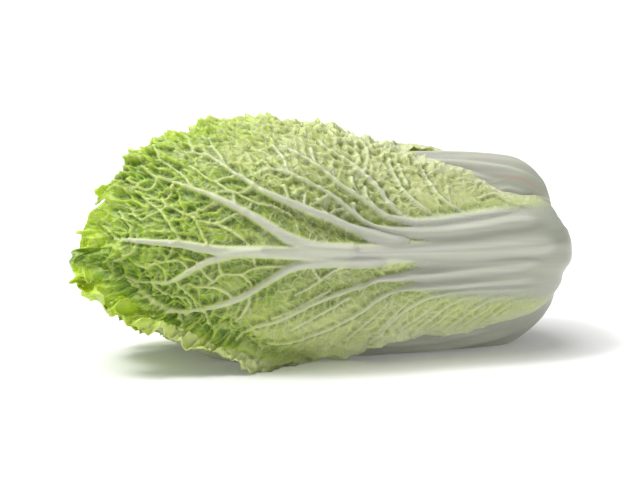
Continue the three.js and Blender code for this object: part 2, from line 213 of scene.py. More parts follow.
def cells(x, y, seed):
    """Irregular cells, one unit across: how far inside its cell a point is, and the cell's own number."""
    i, j = np.floor(x), np.floor(y)
    nearest = np.full(np.shape(x), 9.0)
    second = nearest.copy()
    chance = np.zeros(np.shape(x))
    for di in (-1, 0, 1):
        for dj in (-1, 0, 1):
            px = i + di + 0.5 + 0.8 * (hashed(i + di, j + dj, seed) - 0.5)
            py = j + dj + 0.5 + 0.8 * (hashed(i + di, j + dj, seed + 5) - 0.5)
            d = np.hypot(x - px, y - py)
            closer = d < nearest
            second = np.where(closer, nearest, np.minimum(second, d))
            chance = np.where(closer, hashed(i + di, j + dj, seed + 9), chance)
            nearest = np.where(closer, d, nearest)
    return second - nearest, chance


# ---- Shell coordinates ----
def spline(points, steps):
    """A Catmull-Rom curve through points, with steps spans between each two of them."""
    p = np.array(points, float)
    p = np.vstack([p[0], p, p[-1]])
    t = np.arange(steps)[:, None] / steps
    pieces = []
    for a, b, c, d in zip(p[:-3], p[1:-2], p[2:-1], p[3:]):
        pieces.append(0.5 * (2 * b + (c - a) * t + (2 * a - 5 * b + 4 * c - d) * t ** 2
                             + (3 * b - a - 3 * c + d) * t ** 3))
    return np.vstack(pieces + [p[-1:]])


skin_curve = spline(SKIN_OUTLINE, 60)
skin_s = lengths_along(skin_curve)
SKIN_LENGTH = skin_s[-1]
LEAF_LENGTH = SKIN_LENGTH - 12

tilt = np.array([
    (math.cos(AXIS_DIP), 0, math.sin(AXIS_DIP)), (0, 1, 0), (-math.sin(AXIS_DIP), 0, math.cos(AXIS_DIP)),
])  # from the head's own frame to the row frame
stem_points = np.array([v.co for v in nodes["stem"].data.vertices]) / MM @ tilt
head_at = np.array([
    stem_points[:, 0].max() - STEM_CUT_X,
    (stem_points[:, 1].max() + stem_points[:, 1].min()) / 2,
    (stem_points[:, 2].max() + stem_points[:, 2].min()) / 2,
])


def skin_at(s):
    x = np.interp(s, skin_s, skin_curve[:, 0])
    r = np.interp(s, skin_s, skin_curve[:, 1])
    nx, nr = x * (1 - INNER_LENGTH), r * (1 - INNER_RADIUS)
    size = np.hypot(nx, nr)
    return x, r, nx / size, nr / size


def shell_point(s, turn, h):
    """Row-frame points, in millimetres."""
    x, r, nx, nr = skin_at(s)
    least = np.where(np.asarray(s) < FOOT_REACH, FOOT_RADIUS, 0)
    radius = np.maximum(r + h * nr, least)
    angle = np.radians(turn)
    local = np.stack([x + h * nx, -radius * np.cos(angle), radius * np.sin(angle)], -1)
    return (local + head_at) @ tilt.T


def to_shell(point):
    """The shell coordinates s and turn of a row-frame point."""
    x, y, z = np.asarray(point) @ tilt - head_at
    s = np.linspace(0, SKIN_LENGTH, 1500)
    sx, sr, nx, nr = skin_at(s)
    radius = math.hypot(y, z)
    off = np.abs((x - sx) * nr - (radius - sr) * nx) + 1e3 * (np.hypot(x - sx, radius - sr) > 45)
    return s[np.argmin(off)], math.degrees(math.atan2(z, -y))


# ---- The camera, as in the photograph ----
PHOTO_WIDTH, PHOTO_HEIGHT = 640, 480
FOCAL, SENSOR = 85, 36
MM_PER_PIXEL = 0.605  # at the cabbage
CABBAGE_CENTRE_PX = (324, 235)
CAMERA_ELEVATION = math.radians(9)
CAMERA_TURN = math.radians(16)  # from straight in front, towards the tip
camera_distance = MM_PER_PIXEL * PHOTO_WIDTH * FOCAL / SENSOR
low, high = cad_bounds
look_at = np.array([(a + b) / 2 / MM for a, b in zip(low, high)])
back = np.array([
    -math.sin(CAMERA_TURN) * math.cos(CAMERA_ELEVATION),
    -math.cos(CAMERA_TURN) * math.cos(CAMERA_ELEVATION),
    math.sin(CAMERA_ELEVATION),
])
right = np.array([math.cos(CAMERA_TURN), -math.sin(CAMERA_TURN), 0])
up = np.cross(back, right)
look_at = look_at - right * (CABBAGE_CENTRE_PX[0] - PHOTO_WIDTH / 2) * MM_PER_PIXEL
look_at = look_at + up * (CABBAGE_CENTRE_PX[1] - PHOTO_HEIGHT / 2) * MM_PER_PIXEL
camera_at = look_at + back * camera_distance
camera_data = bpy.data.cameras.new("camera")
camera_data.lens, camera_data.sensor_width = FOCAL, SENSOR
camera = bpy.data.objects.new("camera", camera_data)
camera_turn = np.stack([right, up, back], 1)
camera_rows = [(*[float(v) for v in row], float(at) * MM) for row, at in zip(camera_turn, camera_at)]
camera.matrix_world = Matrix(camera_rows + [(0, 0, 0, 1)])
bpy.context.scene.collection.objects.link(camera)
bpy.context.scene.camera = camera


def node_tree(name):
    mesh = nodes[name].data
    points = np.array([v.co for v in mesh.vertices]) / MM
    mesh.calc_loop_triangles()
    return BVHTree.FromPolygons(points.tolist(), [tuple(t.vertices) for t in mesh.loop_triangles])


def seen_on(tree, px, py):
    """Where the camera's ray through a pixel of the photograph meets a node, in shell coordinates."""
    x = (px - PHOTO_WIDTH / 2) / PHOTO_WIDTH * SENSOR / FOCAL
    y = (PHOTO_HEIGHT / 2 - py) / PHOTO_WIDTH * SENSOR / FOCAL
    ray = right * x + up * y - back
    hit = tree.ray_cast(Vector(camera_at), Vector(ray))[0]
    return None if hit is None else to_shell(hit)


# ---- Veins ----
# The front leaf's large veins: the half width of each in millimetres where it starts and ends, and its
# pixels in the photograph, from the midrib outwards.
FRONT_MIDRIB_PX = [
    (563, 245), (520, 247), (480, 250), (440, 252), (400, 253), (350, 254), (320, 253), (290, 253),
    (250, 252), (220, 251), (200, 248), (180, 244), (150, 242), (130, 240), (113, 240),
]
FRONT_VEINS_PX = [
    # above the midrib
    (3.2, 0.8, [(350, 250), (330, 249), (311, 246), (290, 239), (275, 230), (255, 218), (240, 209),
     (222, 200), (208, 194), (190, 188), (178, 183), (165, 180), (157, 178), (150, 173), (145, 168)]),
    (3.0, 0.8, [(420, 243), (400, 241), (385, 238), (370, 234), (350, 227), (330, 218), (310, 211),
     (290, 203), (275, 196), (258, 188), (245, 179), (235, 173), (225, 166), (215, 159), (205, 155),
     (195, 154), (185, 155), (175, 152)]),
    (2.7, 0.8, [(545, 219), (510, 222), (480, 227), (450, 231), (420, 232), (399, 231), (378, 227),
     (365, 221), (355, 213), (345, 204), (332, 194), (318, 186), (300, 178), (280, 170), (266, 168),
     (256, 173)]),
    (2.4, 0.8, [(560, 207), (520, 210), (480, 215), (459, 218), (435, 221), (415, 222), (400, 219),
     (388, 216), (375, 207), (362, 198), (350, 190), (338, 182), (325, 171), (310, 161), (295, 152),
     (280, 144)]),
    (1.8, 0.6, [(418, 220), (405, 217), (390, 203), (380, 190), (370, 180), (362, 172), (350, 162),
     (335, 153), (325, 147), (321, 141)]),
    (1.5, 0.6, [(448, 219), (437, 217), (425, 210), (412, 199), (400, 186), (392, 172), (388, 160)]),
    (1.5, 0.6, [(482, 215), (469, 215), (460, 211), (448, 203), (437, 193), (430, 182), (420, 168),
     (412, 158)]),
    (1.2, 0.5, [(530, 205), (515, 204), (503, 199), (492, 194), (480, 198)]),
    # below the midrib
    (2.4, 0.8, [(262, 252), (246, 253), (232, 255), (215, 259), (200, 265), (188, 272), (175, 280),
     (162, 284), (150, 283), (138, 283), (122, 278)]),
    (3.0, 0.8, [(400, 262), (360, 262), (330, 263), (305, 265), (290, 269), (278, 276), (262, 286),
     (247, 295), (228, 303), (205, 308), (190, 311), (170, 311), (157, 305), (140, 293), (125, 281)]),
    (2.6, 0.8, [(548, 262), (500, 266), (460, 270), (430, 274), (410, 276), (397, 279), (380, 281),
     (365, 287), (350, 292), (330, 299), (310, 307), (295, 314), (275, 321), (255, 326), (243, 333),
     (236, 340)]),
    (2.2, 0.6, [(545, 278), (500, 280), (470, 283), (440, 286), (412, 289), (400, 291), (385, 298),
     (375, 304), (363, 312), (345, 321), (325, 331), (305, 338), (290, 343), (268, 342)]),
    (1.8, 0.6, [(540, 288), (490, 290), (460, 291), (440, 294), (425, 299), (405, 312), (385, 328),
     (370, 343)]),
    (1.3, 0.5, [(490, 295), (465, 297), (447, 306), (430, 320), (412, 334)]),
    (1.2, 0.5, [(520, 297), (495, 298), (478, 307), (455, 322), (440, 334)]),
    (1.1, 0.5, [(545, 299), (520, 300), (500, 310), (480, 326)]),
    # along the petiole, and one between two lower veins
    (3.6, 1.2, [(563, 245), (520, 247), (480, 250), (440, 252), (400, 253), (370, 253), (330, 253)]),
    (1.3, 0.5, [(375, 266), (350, 267), (340, 269), (328, 276), (320, 283), (308, 291), (295, 297)]),
]
# Its smaller veins, which all have the same half widths.
FRONT_SMALL_VEINS_PX = [
    [(180, 240), (173, 228), (167, 219), (160, 211), (150, 203), (140, 195), (131, 187)],
    [(197, 190), (188, 182), (182, 174), (174, 169), (163, 163), (159, 157), (158, 149)],
    [(222, 200), (210, 204), (200, 210), (190, 214), (182, 213), (173, 208), (167, 207), (160, 210),
     (150, 215), (142, 220), (135, 215), (129, 214)], [(190, 214), (197, 222), (202, 234), (207, 245)],
    [(239, 212), (228, 218), (218, 224), (205, 222), (197, 222)],
    [(218, 224), (230, 230), (240, 237), (248, 245)], [(167, 207), (163, 200), (150, 199), (142, 197)],
    [(163, 200), (168, 195), (172, 187), (173, 181)],
    [(158, 180), (153, 187), (146, 190), (138, 187), (130, 180)],
    [(225, 166), (221, 157), (213, 148), (210, 140)], [(212, 147), (203, 148), (195, 152)],
    [(195, 154), (192, 145), (189, 137)],
    [(240, 174), (225, 177), (215, 181), (207, 178), (200, 173), (190, 166)],
    [(215, 181), (225, 188), (235, 192), (247, 198), (258, 203), (272, 205), (290, 214)],
    [(254, 187), (243, 191), (233, 192), (222, 191), (213, 194)], [(233, 192), (234, 199), (237, 206)],
    [(251, 202), (249, 210), (249, 215)], [(360, 143), (366, 152), (366, 168), (362, 174)],
    [(388, 146), (396, 160), (400, 170), (408, 186)], [(352, 177), (354, 185), (360, 193)],
    [(411, 151), (417, 160), (421, 168)], [(444, 172), (446, 180), (447, 190), (452, 203)],
    [(434, 171), (431, 181), (434, 190)], [(311, 149), (315, 161), (322, 169)],
    [(274, 147), (283, 157), (287, 169), (292, 175)], [(284, 186), (289, 198), (293, 204)],
    [(305, 196), (304, 206), (311, 211)], [(330, 193), (318, 201), (310, 204)],
    [(347, 207), (336, 209), (331, 212)], [(355, 202), (356, 210), (365, 219)],
    [(366, 188), (368, 197), (374, 203)], [(131, 240), (131, 229), (125, 220), (118, 211)],
    [(115, 239), (112, 232), (108, 227)], [(137, 242), (133, 250), (124, 258), (112, 262)],
    [(232, 299), (224, 292), (216, 288), (205, 287), (195, 287), (186, 284), (178, 290)],
    [(290, 266), (275, 267), (262, 267), (250, 270), (240, 275), (222, 275), (213, 282), (205, 287)],
    [(254, 256), (255, 266), (262, 267)], [(249, 296), (248, 305), (242, 315), (236, 320)],
    [(198, 266), (204, 275), (213, 282)], [(175, 281), (180, 288), (190, 297), (198, 308)],
    [(222, 275), (218, 265), (220, 257)], [(240, 275), (248, 282), (252, 290)],
    [(150, 283), (156, 290), (170, 296), (185, 299), (193, 309)],
    [(165, 283), (163, 272), (155, 264), (145, 268), (136, 264)],
    [(172, 245), (168, 256), (163, 262), (155, 264)], [(188, 271), (180, 262), (172, 261), (163, 262)],
    [(313, 265), (314, 272), (321, 281)], [(204, 309), (208, 320), (214, 330)],
    [(178, 312), (182, 322), (190, 330)], [(447, 219), (440, 205), (437, 198)],
    [(473, 196), (475, 186), (480, 180), (477, 172)], [(493, 194), (488, 186), (482, 180)],
    [(463, 193), (458, 186), (460, 176)], [(455, 294), (440, 301), (420, 315), (400, 330)],
    [(478, 296), (462, 304), (445, 316), (428, 330)], [(508, 298), (490, 307), (470, 320), (458, 330)],
    [(535, 299), (515, 308), (498, 318), (488, 326)], [(425, 293), (410, 303), (392, 318), (375, 333)],
    [(405, 292), (392, 303), (376, 316), (358, 330), (345, 340)],
    [(350, 300), (330, 310), (310, 320), (290, 331)], [(330, 293), (312, 302), (292, 312), (272, 318)],
]
SMALL_HALF_WIDTH = (0.95, 0.55)
front_tree = node_tree(LEAVES[0])
BRANCH_STEP = 13  # along a side vein, between the smaller veins that leave it
BRANCH_LENGTH = 24
BRANCH_PIECES = 4  # the straight pieces that a branch is bent from
RUNG_STEP = 7.5  # along a side vein, between the veinlets that cross the blade like a ladder's rungs
RUNG_REACH = 24
RUNG_VEIN = 1.1  # the half width of the thinnest vein that has rungs


def leaf_turn(index):
    return FIRST_TURN + DIVERGENCE * index


def flat_b(s, away):
    """Millimetres round the head from the midrib."""
    return np.radians(away) * np.maximum(skin_at(s)[1], STEM_RADIUS)


def front_midrib():
    """How far round the middle of the front leaf's midrib lies at each distance along it."""
    return np.array(sorted(traced(FRONT_MIDRIB_PX)))


def traced(pixels):
    """A line of the photograph on the front leaf, as (s, millimetres round from the leaf's middle)."""
    found = [seen_on(front_tree, *pixel) for pixel in pixels]
    return [(s, flat_b(s, turn - leaf_turn(0))) for s, turn in (f for f in found if f)]


def front_veins():
    """The large veins and the small ones."""
    large = [(traced(pixels), wide, narrow) for wide, narrow, pixels in FRONT_VEINS_PX]
    small = [(traced(pixels), *SMALL_HALF_WIDTH) for pixels in FRONT_SMALL_VEINS_PX]
    return [[(spline(path, 4), wide, narrow) for path, wide, narrow in veins if len(path) > 1
             and np.ptp(np.array(path), axis=0).max() > 2] for veins in (large, small)]


def with_branches(veins, seed):
    """Adds the smaller veins that leave each side vein on both sides."""
    rng = np.random.default_rng(seed)
    out = list(veins)
    for path, wide, narrow in veins:
        run = lengths_along(path)
        for k, at in enumerate(np.arange(14, run[-1] - 8, BRANCH_STEP)):
            at += rng.uniform(-4, 4)
            p, q = (np.array([np.interp(d, run, path[:, axis]) for axis in (0, 1)]) for d in (at, at + 3))
            way = (q - p) / max(np.hypot(*(q - p)), 1e-6)
            side = 1 if k % 2 else -1
            lean = math.radians(rng.uniform(38, 62)) * side
            length = BRANCH_LENGTH * rng.uniform(0.6, 1.2)
            points = [p]
            for step in range(BRANCH_PIECES):
                turn_by = lean * (1 - 0.16 * step) + rng.uniform(-0.15, 0.15)
                c, d = math.cos(turn_by), math.sin(turn_by)
                heading = np.array([c * way[0] - d * way[1], d * way[0] + c * way[1]])
                points.append(points[-1] + length / BRANCH_PIECES * heading)
            out.append((spline(points, 2), mix(wide, narrow, at / run[-1]) * 0.42, 0.3))
    return out


FOLD_PLACE, FOLD_WIDTH = 7, 5  # how far below a large vein the blade folds in, in millimetres


def vein_field(a, b, veins):
    """At each point (a, b): the height of the tallest vein, the broad rise and the trough beside it, the
    line of the nearest rung, how far the point is from the rungs beside it, and the fold under a vein."""
    ridge, rise, trough, rung, between, fold = (np.zeros(a.shape) for _ in range(6))
    nearest = np.full(a.shape, RUNG_REACH, float)
    for number, (path, wide, narrow) in enumerate(veins):
        reach = RUNG_REACH if wide >= RUNG_VEIN else 9 * wide
        near = ((a > path[:, 0].min() - reach) & (a < path[:, 0].max() + reach)
                & (b > path[:, 1].min() - reach) & (b < path[:, 1].max() + reach))
        if not near.any():
            continue
        pa, pb = a[near], b[near]
        best = np.full(pa.shape, 1e9)
        best_run = np.zeros(pa.shape)
        side, below = np.zeros(pa.shape), np.zeros(pa.shape)
        steps = np.hypot(*np.diff(path, axis=0).T)
        run = lengths_along(path)
        for k in range(len(steps)):
            (a0, b0), (a1, b1) = path[k], path[k + 1]
            da, db = a1 - a0, b1 - b0
            size = max(da * da + db * db, 1e-9)
            t = np.clip(((pa - a0) * da + (pb - b0) * db) / size, 0, 1)
            d = np.hypot(pa - a0 - t * da, pb - b0 - t * db)
            closer = d < best
            best = np.where(closer, d, best)
            best_run = np.where(closer, run[k] + t * steps[k], best_run)
            side = np.where(closer, np.sign((pa - a0) * db - (pb - b0) * da), side)
            below = np.where(closer, b0 + t * db - pb, below)
        width = mix(wide, narrow, best_run / run[-1])
        tall = np.clip(width / 2.2, 0.42, 1.15)
        if path[0, 0] < 0.47 * LEAF_LENGTH:
            tall = tall * ease(best_run, -6, 30)  # a vein comes out of the petiole little by little
        ridge[near] = np.maximum(ridge[near], bell(best, width) * tall)
        rise[near] = np.maximum(rise[near], bell(best, 2.1 * width) * tall)
        beside = bell(best - 2.0 * width - 0.6, 1.1 * width + 1.0)
        trough[near] = np.maximum(trough[near], beside * tall)
        if wide < RUNG_VEIN:
            continue
        deepest = FOLD_PLACE * ease(best_run, 0, 40)
        folding = bell(best - deepest, FOLD_WIDTH) * ease(below, 0, 3)
        fold[near] = np.maximum(fold[near], folding * fade(best_run / run[-1], 0.6, 0.95))
        # Rungs lean towards the vein's end, and only those of the nearest vein count.
        phase = (best_run - 0.75 * best) / RUNG_STEP + 0.45 * noise(pa / 13, pb / 13, 31 + number)
        cell = np.floor(phase)
        off = (phase - cell - 0.5) * RUNG_STEP
        strength = 0.25 + 0.75 * hashed(cell, side + 2, number + 50)
        mine = best < nearest[near]
        fading = ease(RUNG_REACH - best, 0, 8)
        rung[near] = np.where(mine, bell(off, 0.8) * strength * fading, rung[near])
        between[near] = np.where(mine, (1 - bell(off, 2.4)) * fading, between[near])
        nearest[near] = np.where(mine, best, nearest[near])
    fold = fold * (1 - np.minimum(1, 1.5 * ridge))
    return ridge, rise, trough * (1 - np.minimum(1, 1.5 * ridge)), rung, between, fold


# ---- A leaf's grid ----
def spread_of(index):
    return {0: FRONT_SPREAD, 1: BACK_HIGH_SPREAD}.get(index, SPREAD)


def exposure(index, s, turn):
    """How much of a leaf lies open to the air, past the margins of the leaves outside it."""
    open_to_air = np.ones(np.shape(s))
    for outer in range(index):
        away = (turn - leaf_turn(outer) + 180) % 360 - 180
        spread = by_side(spread_of(outer), s / LEAF_LENGTH, away)
        open_to_air *= ease(np.abs(away) / spread, 0.93, 1.1)
    return open_to_air


def blurred(field, passes):
    around = [(1, 1), (1, 1), (0, 0)][:field.ndim]
    for _ in range(passes):
        p = np.pad(field, around, mode="edge")
        field = (p[:-2, 1:-1] + p[2:, 1:-1] + p[1:-1, :-2] + p[1:-1, 2:] + 4 * field) / 8
    return field


def resized(field, rows, columns):
    """The field on a finer grid."""
    i = np.linspace(0, field.shape[0] - 1, rows)[:, None]
    j = np.linspace(0, field.shape[1] - 1, columns)[None, :]
    return bilinear(field, i, j)


def leaf_outline(index, rows, columns):
    """s and turn of a grid that fills a leaf's outline, from its foot to its tip."""
    u = np.linspace(0, 1, rows)[:, None] * np.ones((1, columns))
    c = np.linspace(-1, 1, columns)[None, :] * np.ones((rows, 1))
    out = np.abs(c)
    seed = 11 * index
    frill = ease(u, 0.2, 0.34)
    tip_lobes = 5 * noise(c * 3.2 + 7, c * 0 + index, seed) + 2 * noise(c * 9, c * 0 + index, seed + 1)
    for middle, width, reach in TIP_LOBES.get(index, []):
        tip_lobes = tip_lobes + reach * bell(c - middle, width)
    length = LEAF_LENGTH - TIP_ROUNDING * out ** 3 + tip_lobes * ease(u, 0.8, 1)
    s = np.clip(u * length + VEIN_SWEEP * np.sin(np.pi * u) * out ** 1.2, 0, SKIN_LENGTH - 2)
    spread = by_side(spread_of(index), s / LEAF_LENGTH, c)
    if index == 0:
        rolled_over = column(LIP, s / LEAF_LENGTH, 1) / np.maximum(skin_at(s)[1], STEM_RADIUS)
        spread = spread + np.where(c > 0, 0, np.degrees(rolled_over))
    side = np.where(c > 0, 0.0, 40.0)
    lobes = 0.045 * noise(s / 17, side, seed + 2) + 0.03 * noise(s / 6.5, side, seed + 3)
    lobes = lobes + 0.014 * noise(s / 2.8, side, seed + 4)
    away = c * spread * (1 + lobes * frill * out ** 3)
    return u, c, s, leaf_turn(index) + away, away


CAST_ROWS, CAST_COLUMNS = 121, 81
CAST_FROM = 45


def cast_heights(name, s, turn):
    """The heights of a CAD node's outer face, with nan where there is none."""
    tree = node_tree(name)
    start = shell_point(s, turn, CAST_FROM)
    end = shell_point(s, turn, -CAST_FROM)
    found = np.full(s.shape, np.nan)
    for cell in np.ndindex(*s.shape):
        distance = tree.ray_cast(Vector(start[cell]), Vector(end[cell] - start[cell]))[3]
        if distance is not None:
            found[cell] = CAST_FROM - distance
    return found


def cad_height(index, rows, columns):
    """The height of the CAD leaf's outer face over a leaf's outline, smoothed."""
    s, turn = leaf_outline(index, CAST_ROWS, CAST_COLUMNS)[2:4]
    found = cast_heights(LEAVES[index], s, turn)
    for i in range(CAST_ROWS):
        known = np.isfinite(found[i])
        if known.sum() > 3:
            found[i] = np.interp(np.arange(CAST_COLUMNS), np.flatnonzero(known), found[i, known])
    known = np.isfinite(found).all(1)
    for j in range(CAST_COLUMNS):
        found[:, j] = np.interp(np.arange(CAST_ROWS), np.flatnonzero(known), found[known, j])
    return resized(blurred(found, 14), rows, columns)


# The height of what has been laid so far, on a fine map of shell coordinates.
MAP_ROWS, MAP_COLUMNS = 300, 400
laid = np.full((MAP_ROWS, MAP_COLUMNS), -100.0)


def map_cell(s, turn):
    i = np.clip((s / SKIN_LENGTH * (MAP_ROWS - 1)).round().astype(int), 0, MAP_ROWS - 1)
    j = (turn / 360 * MAP_COLUMNS).round().astype(int) % MAP_COLUMNS
    return i, j


def clear_of_laid(s, turn, h):
    """Raises heights that would cut into the leaves laid so far."""
    highest = laid.copy()
    for di in (-1, 0, 1):
        for dj in (-1, 0, 1):
            highest = np.maximum(highest, np.roll(np.roll(laid, dj, 1), di, 0))
    return np.maximum(h, highest[map_cell(s, turn)])


def lay(s, turn, h):
    np.maximum.at(laid, map_cell(s, turn), h)


# ---- Relief ----
def rolled(reach, radius, most):
    """A margin that rolls outwards, reach past where it starts: how far it goes on, how far it rises and
    through what angle it has turned."""
    turned = np.clip(reach / radius, 0, most)
    beyond = np.maximum(reach, 0) - turned * radius
    along = radius * np.sin(turned) + beyond * np.cos(turned)
    rise = radius * (1 - np.cos(turned)) + beyond * np.sin(turned)
    return np.where(reach > 0, along, reach), rise, turned


# Heights in millimetres. Where there are two, the first is near the stem and the second further out.
QUILT_DEPTH = (0.9, 1.8)
PETIOLE_RIDGES = 0.45
VEIN_HEIGHT = (0.7, 2.0)
VEIN_SHOULDER = (2.3, 0.7)
TROUGH_DEPTH = 1.4
CRUMPLE = (0.8, 2.5)
CRINKLES = [(0.95, 7.5, 7.5, 5), (0.65, 3.5, 3.5, 6), (0.9, 20, 16, 23)]  # height, size both ways, seed
LONG_WAVES = 1.2
RUFFLE = (0.5, 5.0)
DIP_DEPTH = 3
CREASE_DEPTH = 2.4
RIB_THICKNESS = 2.2
CLEARANCE = 0.2  # from one leaf to the next
MARGIN = 0.72  # where a leaf's margin starts, as a share of its half width
TIP_ROLL = 95  # degrees


def leaf_fields(index, veins, midrib, rows, columns):
    """A leaf's grid with its outer height and what its material needs."""
    u, c, s, turn, away = leaf_outline(index, rows, columns)
    seed = 100 * index
    share = s / LEAF_LENGTH

    def past(low, high):
        """From 0 to 1 between two shares of the leaf's length."""
        return ease(share, low, high)

    def before(low, high):
        return 1 - past(low, high)

    def rough(long, wide, number):
        """Noise with features of a given size in millimetres."""
        return noise(s / long, b / wide, seed + number)

    radius = np.maximum(skin_at(s)[1], STEM_RADIUS)
    b = flat_b(s, away)
    out = np.abs(c)
    base = cad_height(index, rows, columns)
    opened = exposure(index, s, turn)
    bare = mix(0.15, 1, opened)

    # The petiole, ridged lengthwise, that runs out into the midrib and the side veins.
    ridge, rise, trough, rung, between, fold = vein_field(s, b, veins)
    rib_b = b - np.interp(s, midrib[:, 0], midrib[:, 1])
    half = by_side(PETIOLE, share, rib_b) * BROAD_MIDRIB.get(index, 1)
    end = mix(*PETIOLE_END, ease(rise, 0.15, 0.75)) + 0.012 * rough(9, 4, 19)
    petiole = bell(rib_b, half, 4) * before(end - 0.05, end + 0.03)
    midrib_shape = bell(rib_b, column(MIDRIB, share), 4) * fade(u, 0.9, 0.97)
    rib = np.maximum(petiole, midrib_shape)
    blade = fade(rib, 0.12, 0.75)
    across = rib_b / half
    ridges = noise(across * 3.4 + 5, share * 2.2, seed + 20)
    ridges = (ridges + 0.5 * noise(across * 8, share * 3, seed + 21)) * petiole
    # painted shade in the petiole's valleys between its ridges
    valley_shade = petiole * fade(rise, 0.2, 0.85) * past(0.02, 0.12)
    valley_shade = valley_shade * (0.6 if index else 0.9)

    # The blade: quilted between its veins, most of all away from the midrib, and crinkled at its margins.
    warp_a = s + 3.5 * rough(13, 13, 1)
    warp_b = b + 3.5 * rough(13, 13, 2)
    inside, chance = cells(warp_a / 9.5, warp_b / 8, seed + 3)
    inside_2, chance_2 = cells(warp_a / 4.2, warp_b / 3.8, seed + 4)
    leafy = past(0.16, 0.5)
    half = mix(half, column(MIDRIB, share), past(0.38, 0.46))
    far = ease(np.abs(rib_b), half, half + 35)
    smooth_below = ease(-rib_b, 0, 22) * before(0.6, 0.82) if index == 0 else 0
    quilted = mix(0.3, 1, leafy) * np.maximum(mix(0.35, 1, far), past(0.62, 0.88))
    quilted = quilted * (1 - 0.72 * smooth_below) * (1 + 0.7 * rough(24, 24, 18))
    frizz = ease(out, 0.5, 0.92) * past(0.14, 0.34) * (1 - 0.85 * smooth_below)
    frizz = np.maximum(frizz, ease(u, 0.9, 1))
    net = bell(inside, 0.11)
    net_2 = bell(inside_2, 0.15)
    hollow = (1 - bell(inside, 0.35)) * (0.35 + 0.9 * chance)
    hollow_2 = (1 - bell(inside_2, 0.4)) * (0.4 + 0.8 * chance_2)
    crinkle = 0
    for height, long, wide, number in CRINKLES:
        creases = np.abs(noise(warp_a / long, warp_b / wide, seed + number))
        crinkle = crinkle + height * (1 - 2.2 * creases)
    waves = rough(42, 30, 7)
    deep = quilted * blade * (1 - 0.7 * ridge) * (1 - 0.55 * ease(u, 0.92, 0.98))

    small = 0.5 * net + 0.25 * net_2 - 1.0 * hollow - 0.3 * hollow_2 + 0.8 * rung - 0.5 * between
    small = small * mix(*QUILT_DEPTH, past(0.68, 0.9))
    relief = PETIOLE_RIDGES * ridges + column(MIDRIB, share, 2) * midrib_shape
    relief = relief + ridge * mix(*VEIN_HEIGHT, leafy) + rise * mix(*VEIN_SHOULDER, leafy)
    relief = relief - TROUGH_DEPTH * trough * blade
    crumpled = mix(*CRUMPLE, past(0.25, 0.65)) * (1 - 0.72 * ease(u, 0.9, 0.975))
    relief = relief + deep * small + frizz * blade * (1 - 0.5 * ridge) * crumpled * crinkle
    depth = blurred(relief, 22) - relief
    relief = relief + LONG_WAVES * waves * leafy

    # Frilled margins.
    rim = np.maximum(ease(out, 0.66, 1), 0.6 * ease(u, 0.86, 1))
    ruffle = noise(s / 15 + 3, b / 22, seed + 8) + 0.6 * rough(7, 8, 9)
    lift = mix(*RUFFLE, past(0.22, 0.55)) * ruffle * rim ** 1.5
    if index == 0:
        lift = lift * (1 - 0.75 * bell(share - 0.53, 0.06) * (c > 0))
    settles, sinks = ((0.36, 0.5), 3.4) if index == 1 else ((0.2, 0.34), 2.2)
    settled = ease(out, MARGIN, 1) * before(*settles)
    lift = lift - sinks * settled
    if index == 1:  # it bulges behind the front leaf's upper margin
        bulge = bell(share - 0.33, 0.1) * bell(c + 0.6, 0.2)
        lift = lift + (3.5 + 2.0 * rough(8, 9, 22)) * bulge
    if index == 2:  # its face bulges beside the front leaf's lip
        lift = lift + 4.5 * bell(share - 0.73, 0.08) * bell(away + 8, 16)
    dip = 0 * s
    if index == 0:  # the blade sinks below the midrib, and below each large vein above it
        dip = bell(rib_b + 22, 13) * past(0.4, 0.5) * before(0.62, 0.8)
        dip = dip + 0.8 * fold * ease(rib_b, 4, 16) * past(0.42, 0.56)
    lift = lift - DIP_DEPTH * dip
    thickness = RIB_THICKNESS * rib * before(0.5, 0.9) * (1 - 0.85 * settled)
    thickness = BLADE_THICKNESS + thickness + 0.3 * ridge

    shifted = 1.1 * frizz * blade * opened * (1 - 0.6 * ease(u, 0.92, 1))
    s_moved = s + shifted * rough(7, 7, 12)
    b_moved = b + shifted * rough(7, 7, 13)

    # Margins that roll outwards: the tip's on every leaf, and the front leaf's lower one.
    roll = np.radians(TIP_ROLL) * opened * (0.75 + 0.5 * noise(c * 3, c * 0, seed + 15))
    roll = roll * fade(c, 0.32, 0.48) if index == 0 else roll * 0.5
    reach = TIP_CURL[min(index, 1)] - (1 - u) * LEAF_LENGTH
    along, rolled_up, tip_turned = rolled(reach, TIP_CURL_RADIUS, roll)
    s_moved = s_moved - reach + along
    lip_turned, folded, crease = 0 * s, 0 * s, 0 * s
    if index == 0:
        most = np.radians(column(LIP, share, 2)) * (c < 0)
        fold_line = np.radians(column(FRONT_SPREAD, share, 2)) * radius - LIP_RADIUS
        reach = -b - fold_line
        along, lip_rise, lip_turned = rolled(reach, LIP_RADIUS, most)
        folded = ease(reach, 0, 3) * ease(most, 0.3, 1.2)
        crease = bell(np.minimum(reach + 4, 0), 7) * fade(reach, -3, 1) * ease(most, 0.6, 1.5)
        frill = 3.2 * noise(s / 7, reach / 7, seed + 16) + 2.3 * noise(s / 3.4, reach / 3.6, seed + 17)
        frill = frill + 4.5 * noise(s / 9, reach / 8, seed + 24) * bell(share - 0.61, 0.04)
        lift = lift * (1 - folded) + frill * folded
        lift = mix(lift, -CREASE_DEPTH, crease)
        lift = lift + 4 * bell(c - 0.62, 0.2) * ease(u, 0.9, 1)
        b_moved = np.where(c < 0, b_moved + reach - along, b_moved)
        rolled_up = np.maximum(rolled_up, lip_rise) + 0.3 * np.minimum(rolled_up, lip_rise)
    if index == 3:  # it stands higher over its foot
        lift = lift + 4 * bell(share - 0.15, 0.1) * bell(c, 0.7)
    detail = (relief + lift) * bare
    s_moved = s_moved - detail * np.sin(tip_turned)
    b_moved = b_moved + detail * np.sin(lip_turned)
    turn_moved = turn + np.degrees((b_moved - b) / radius)
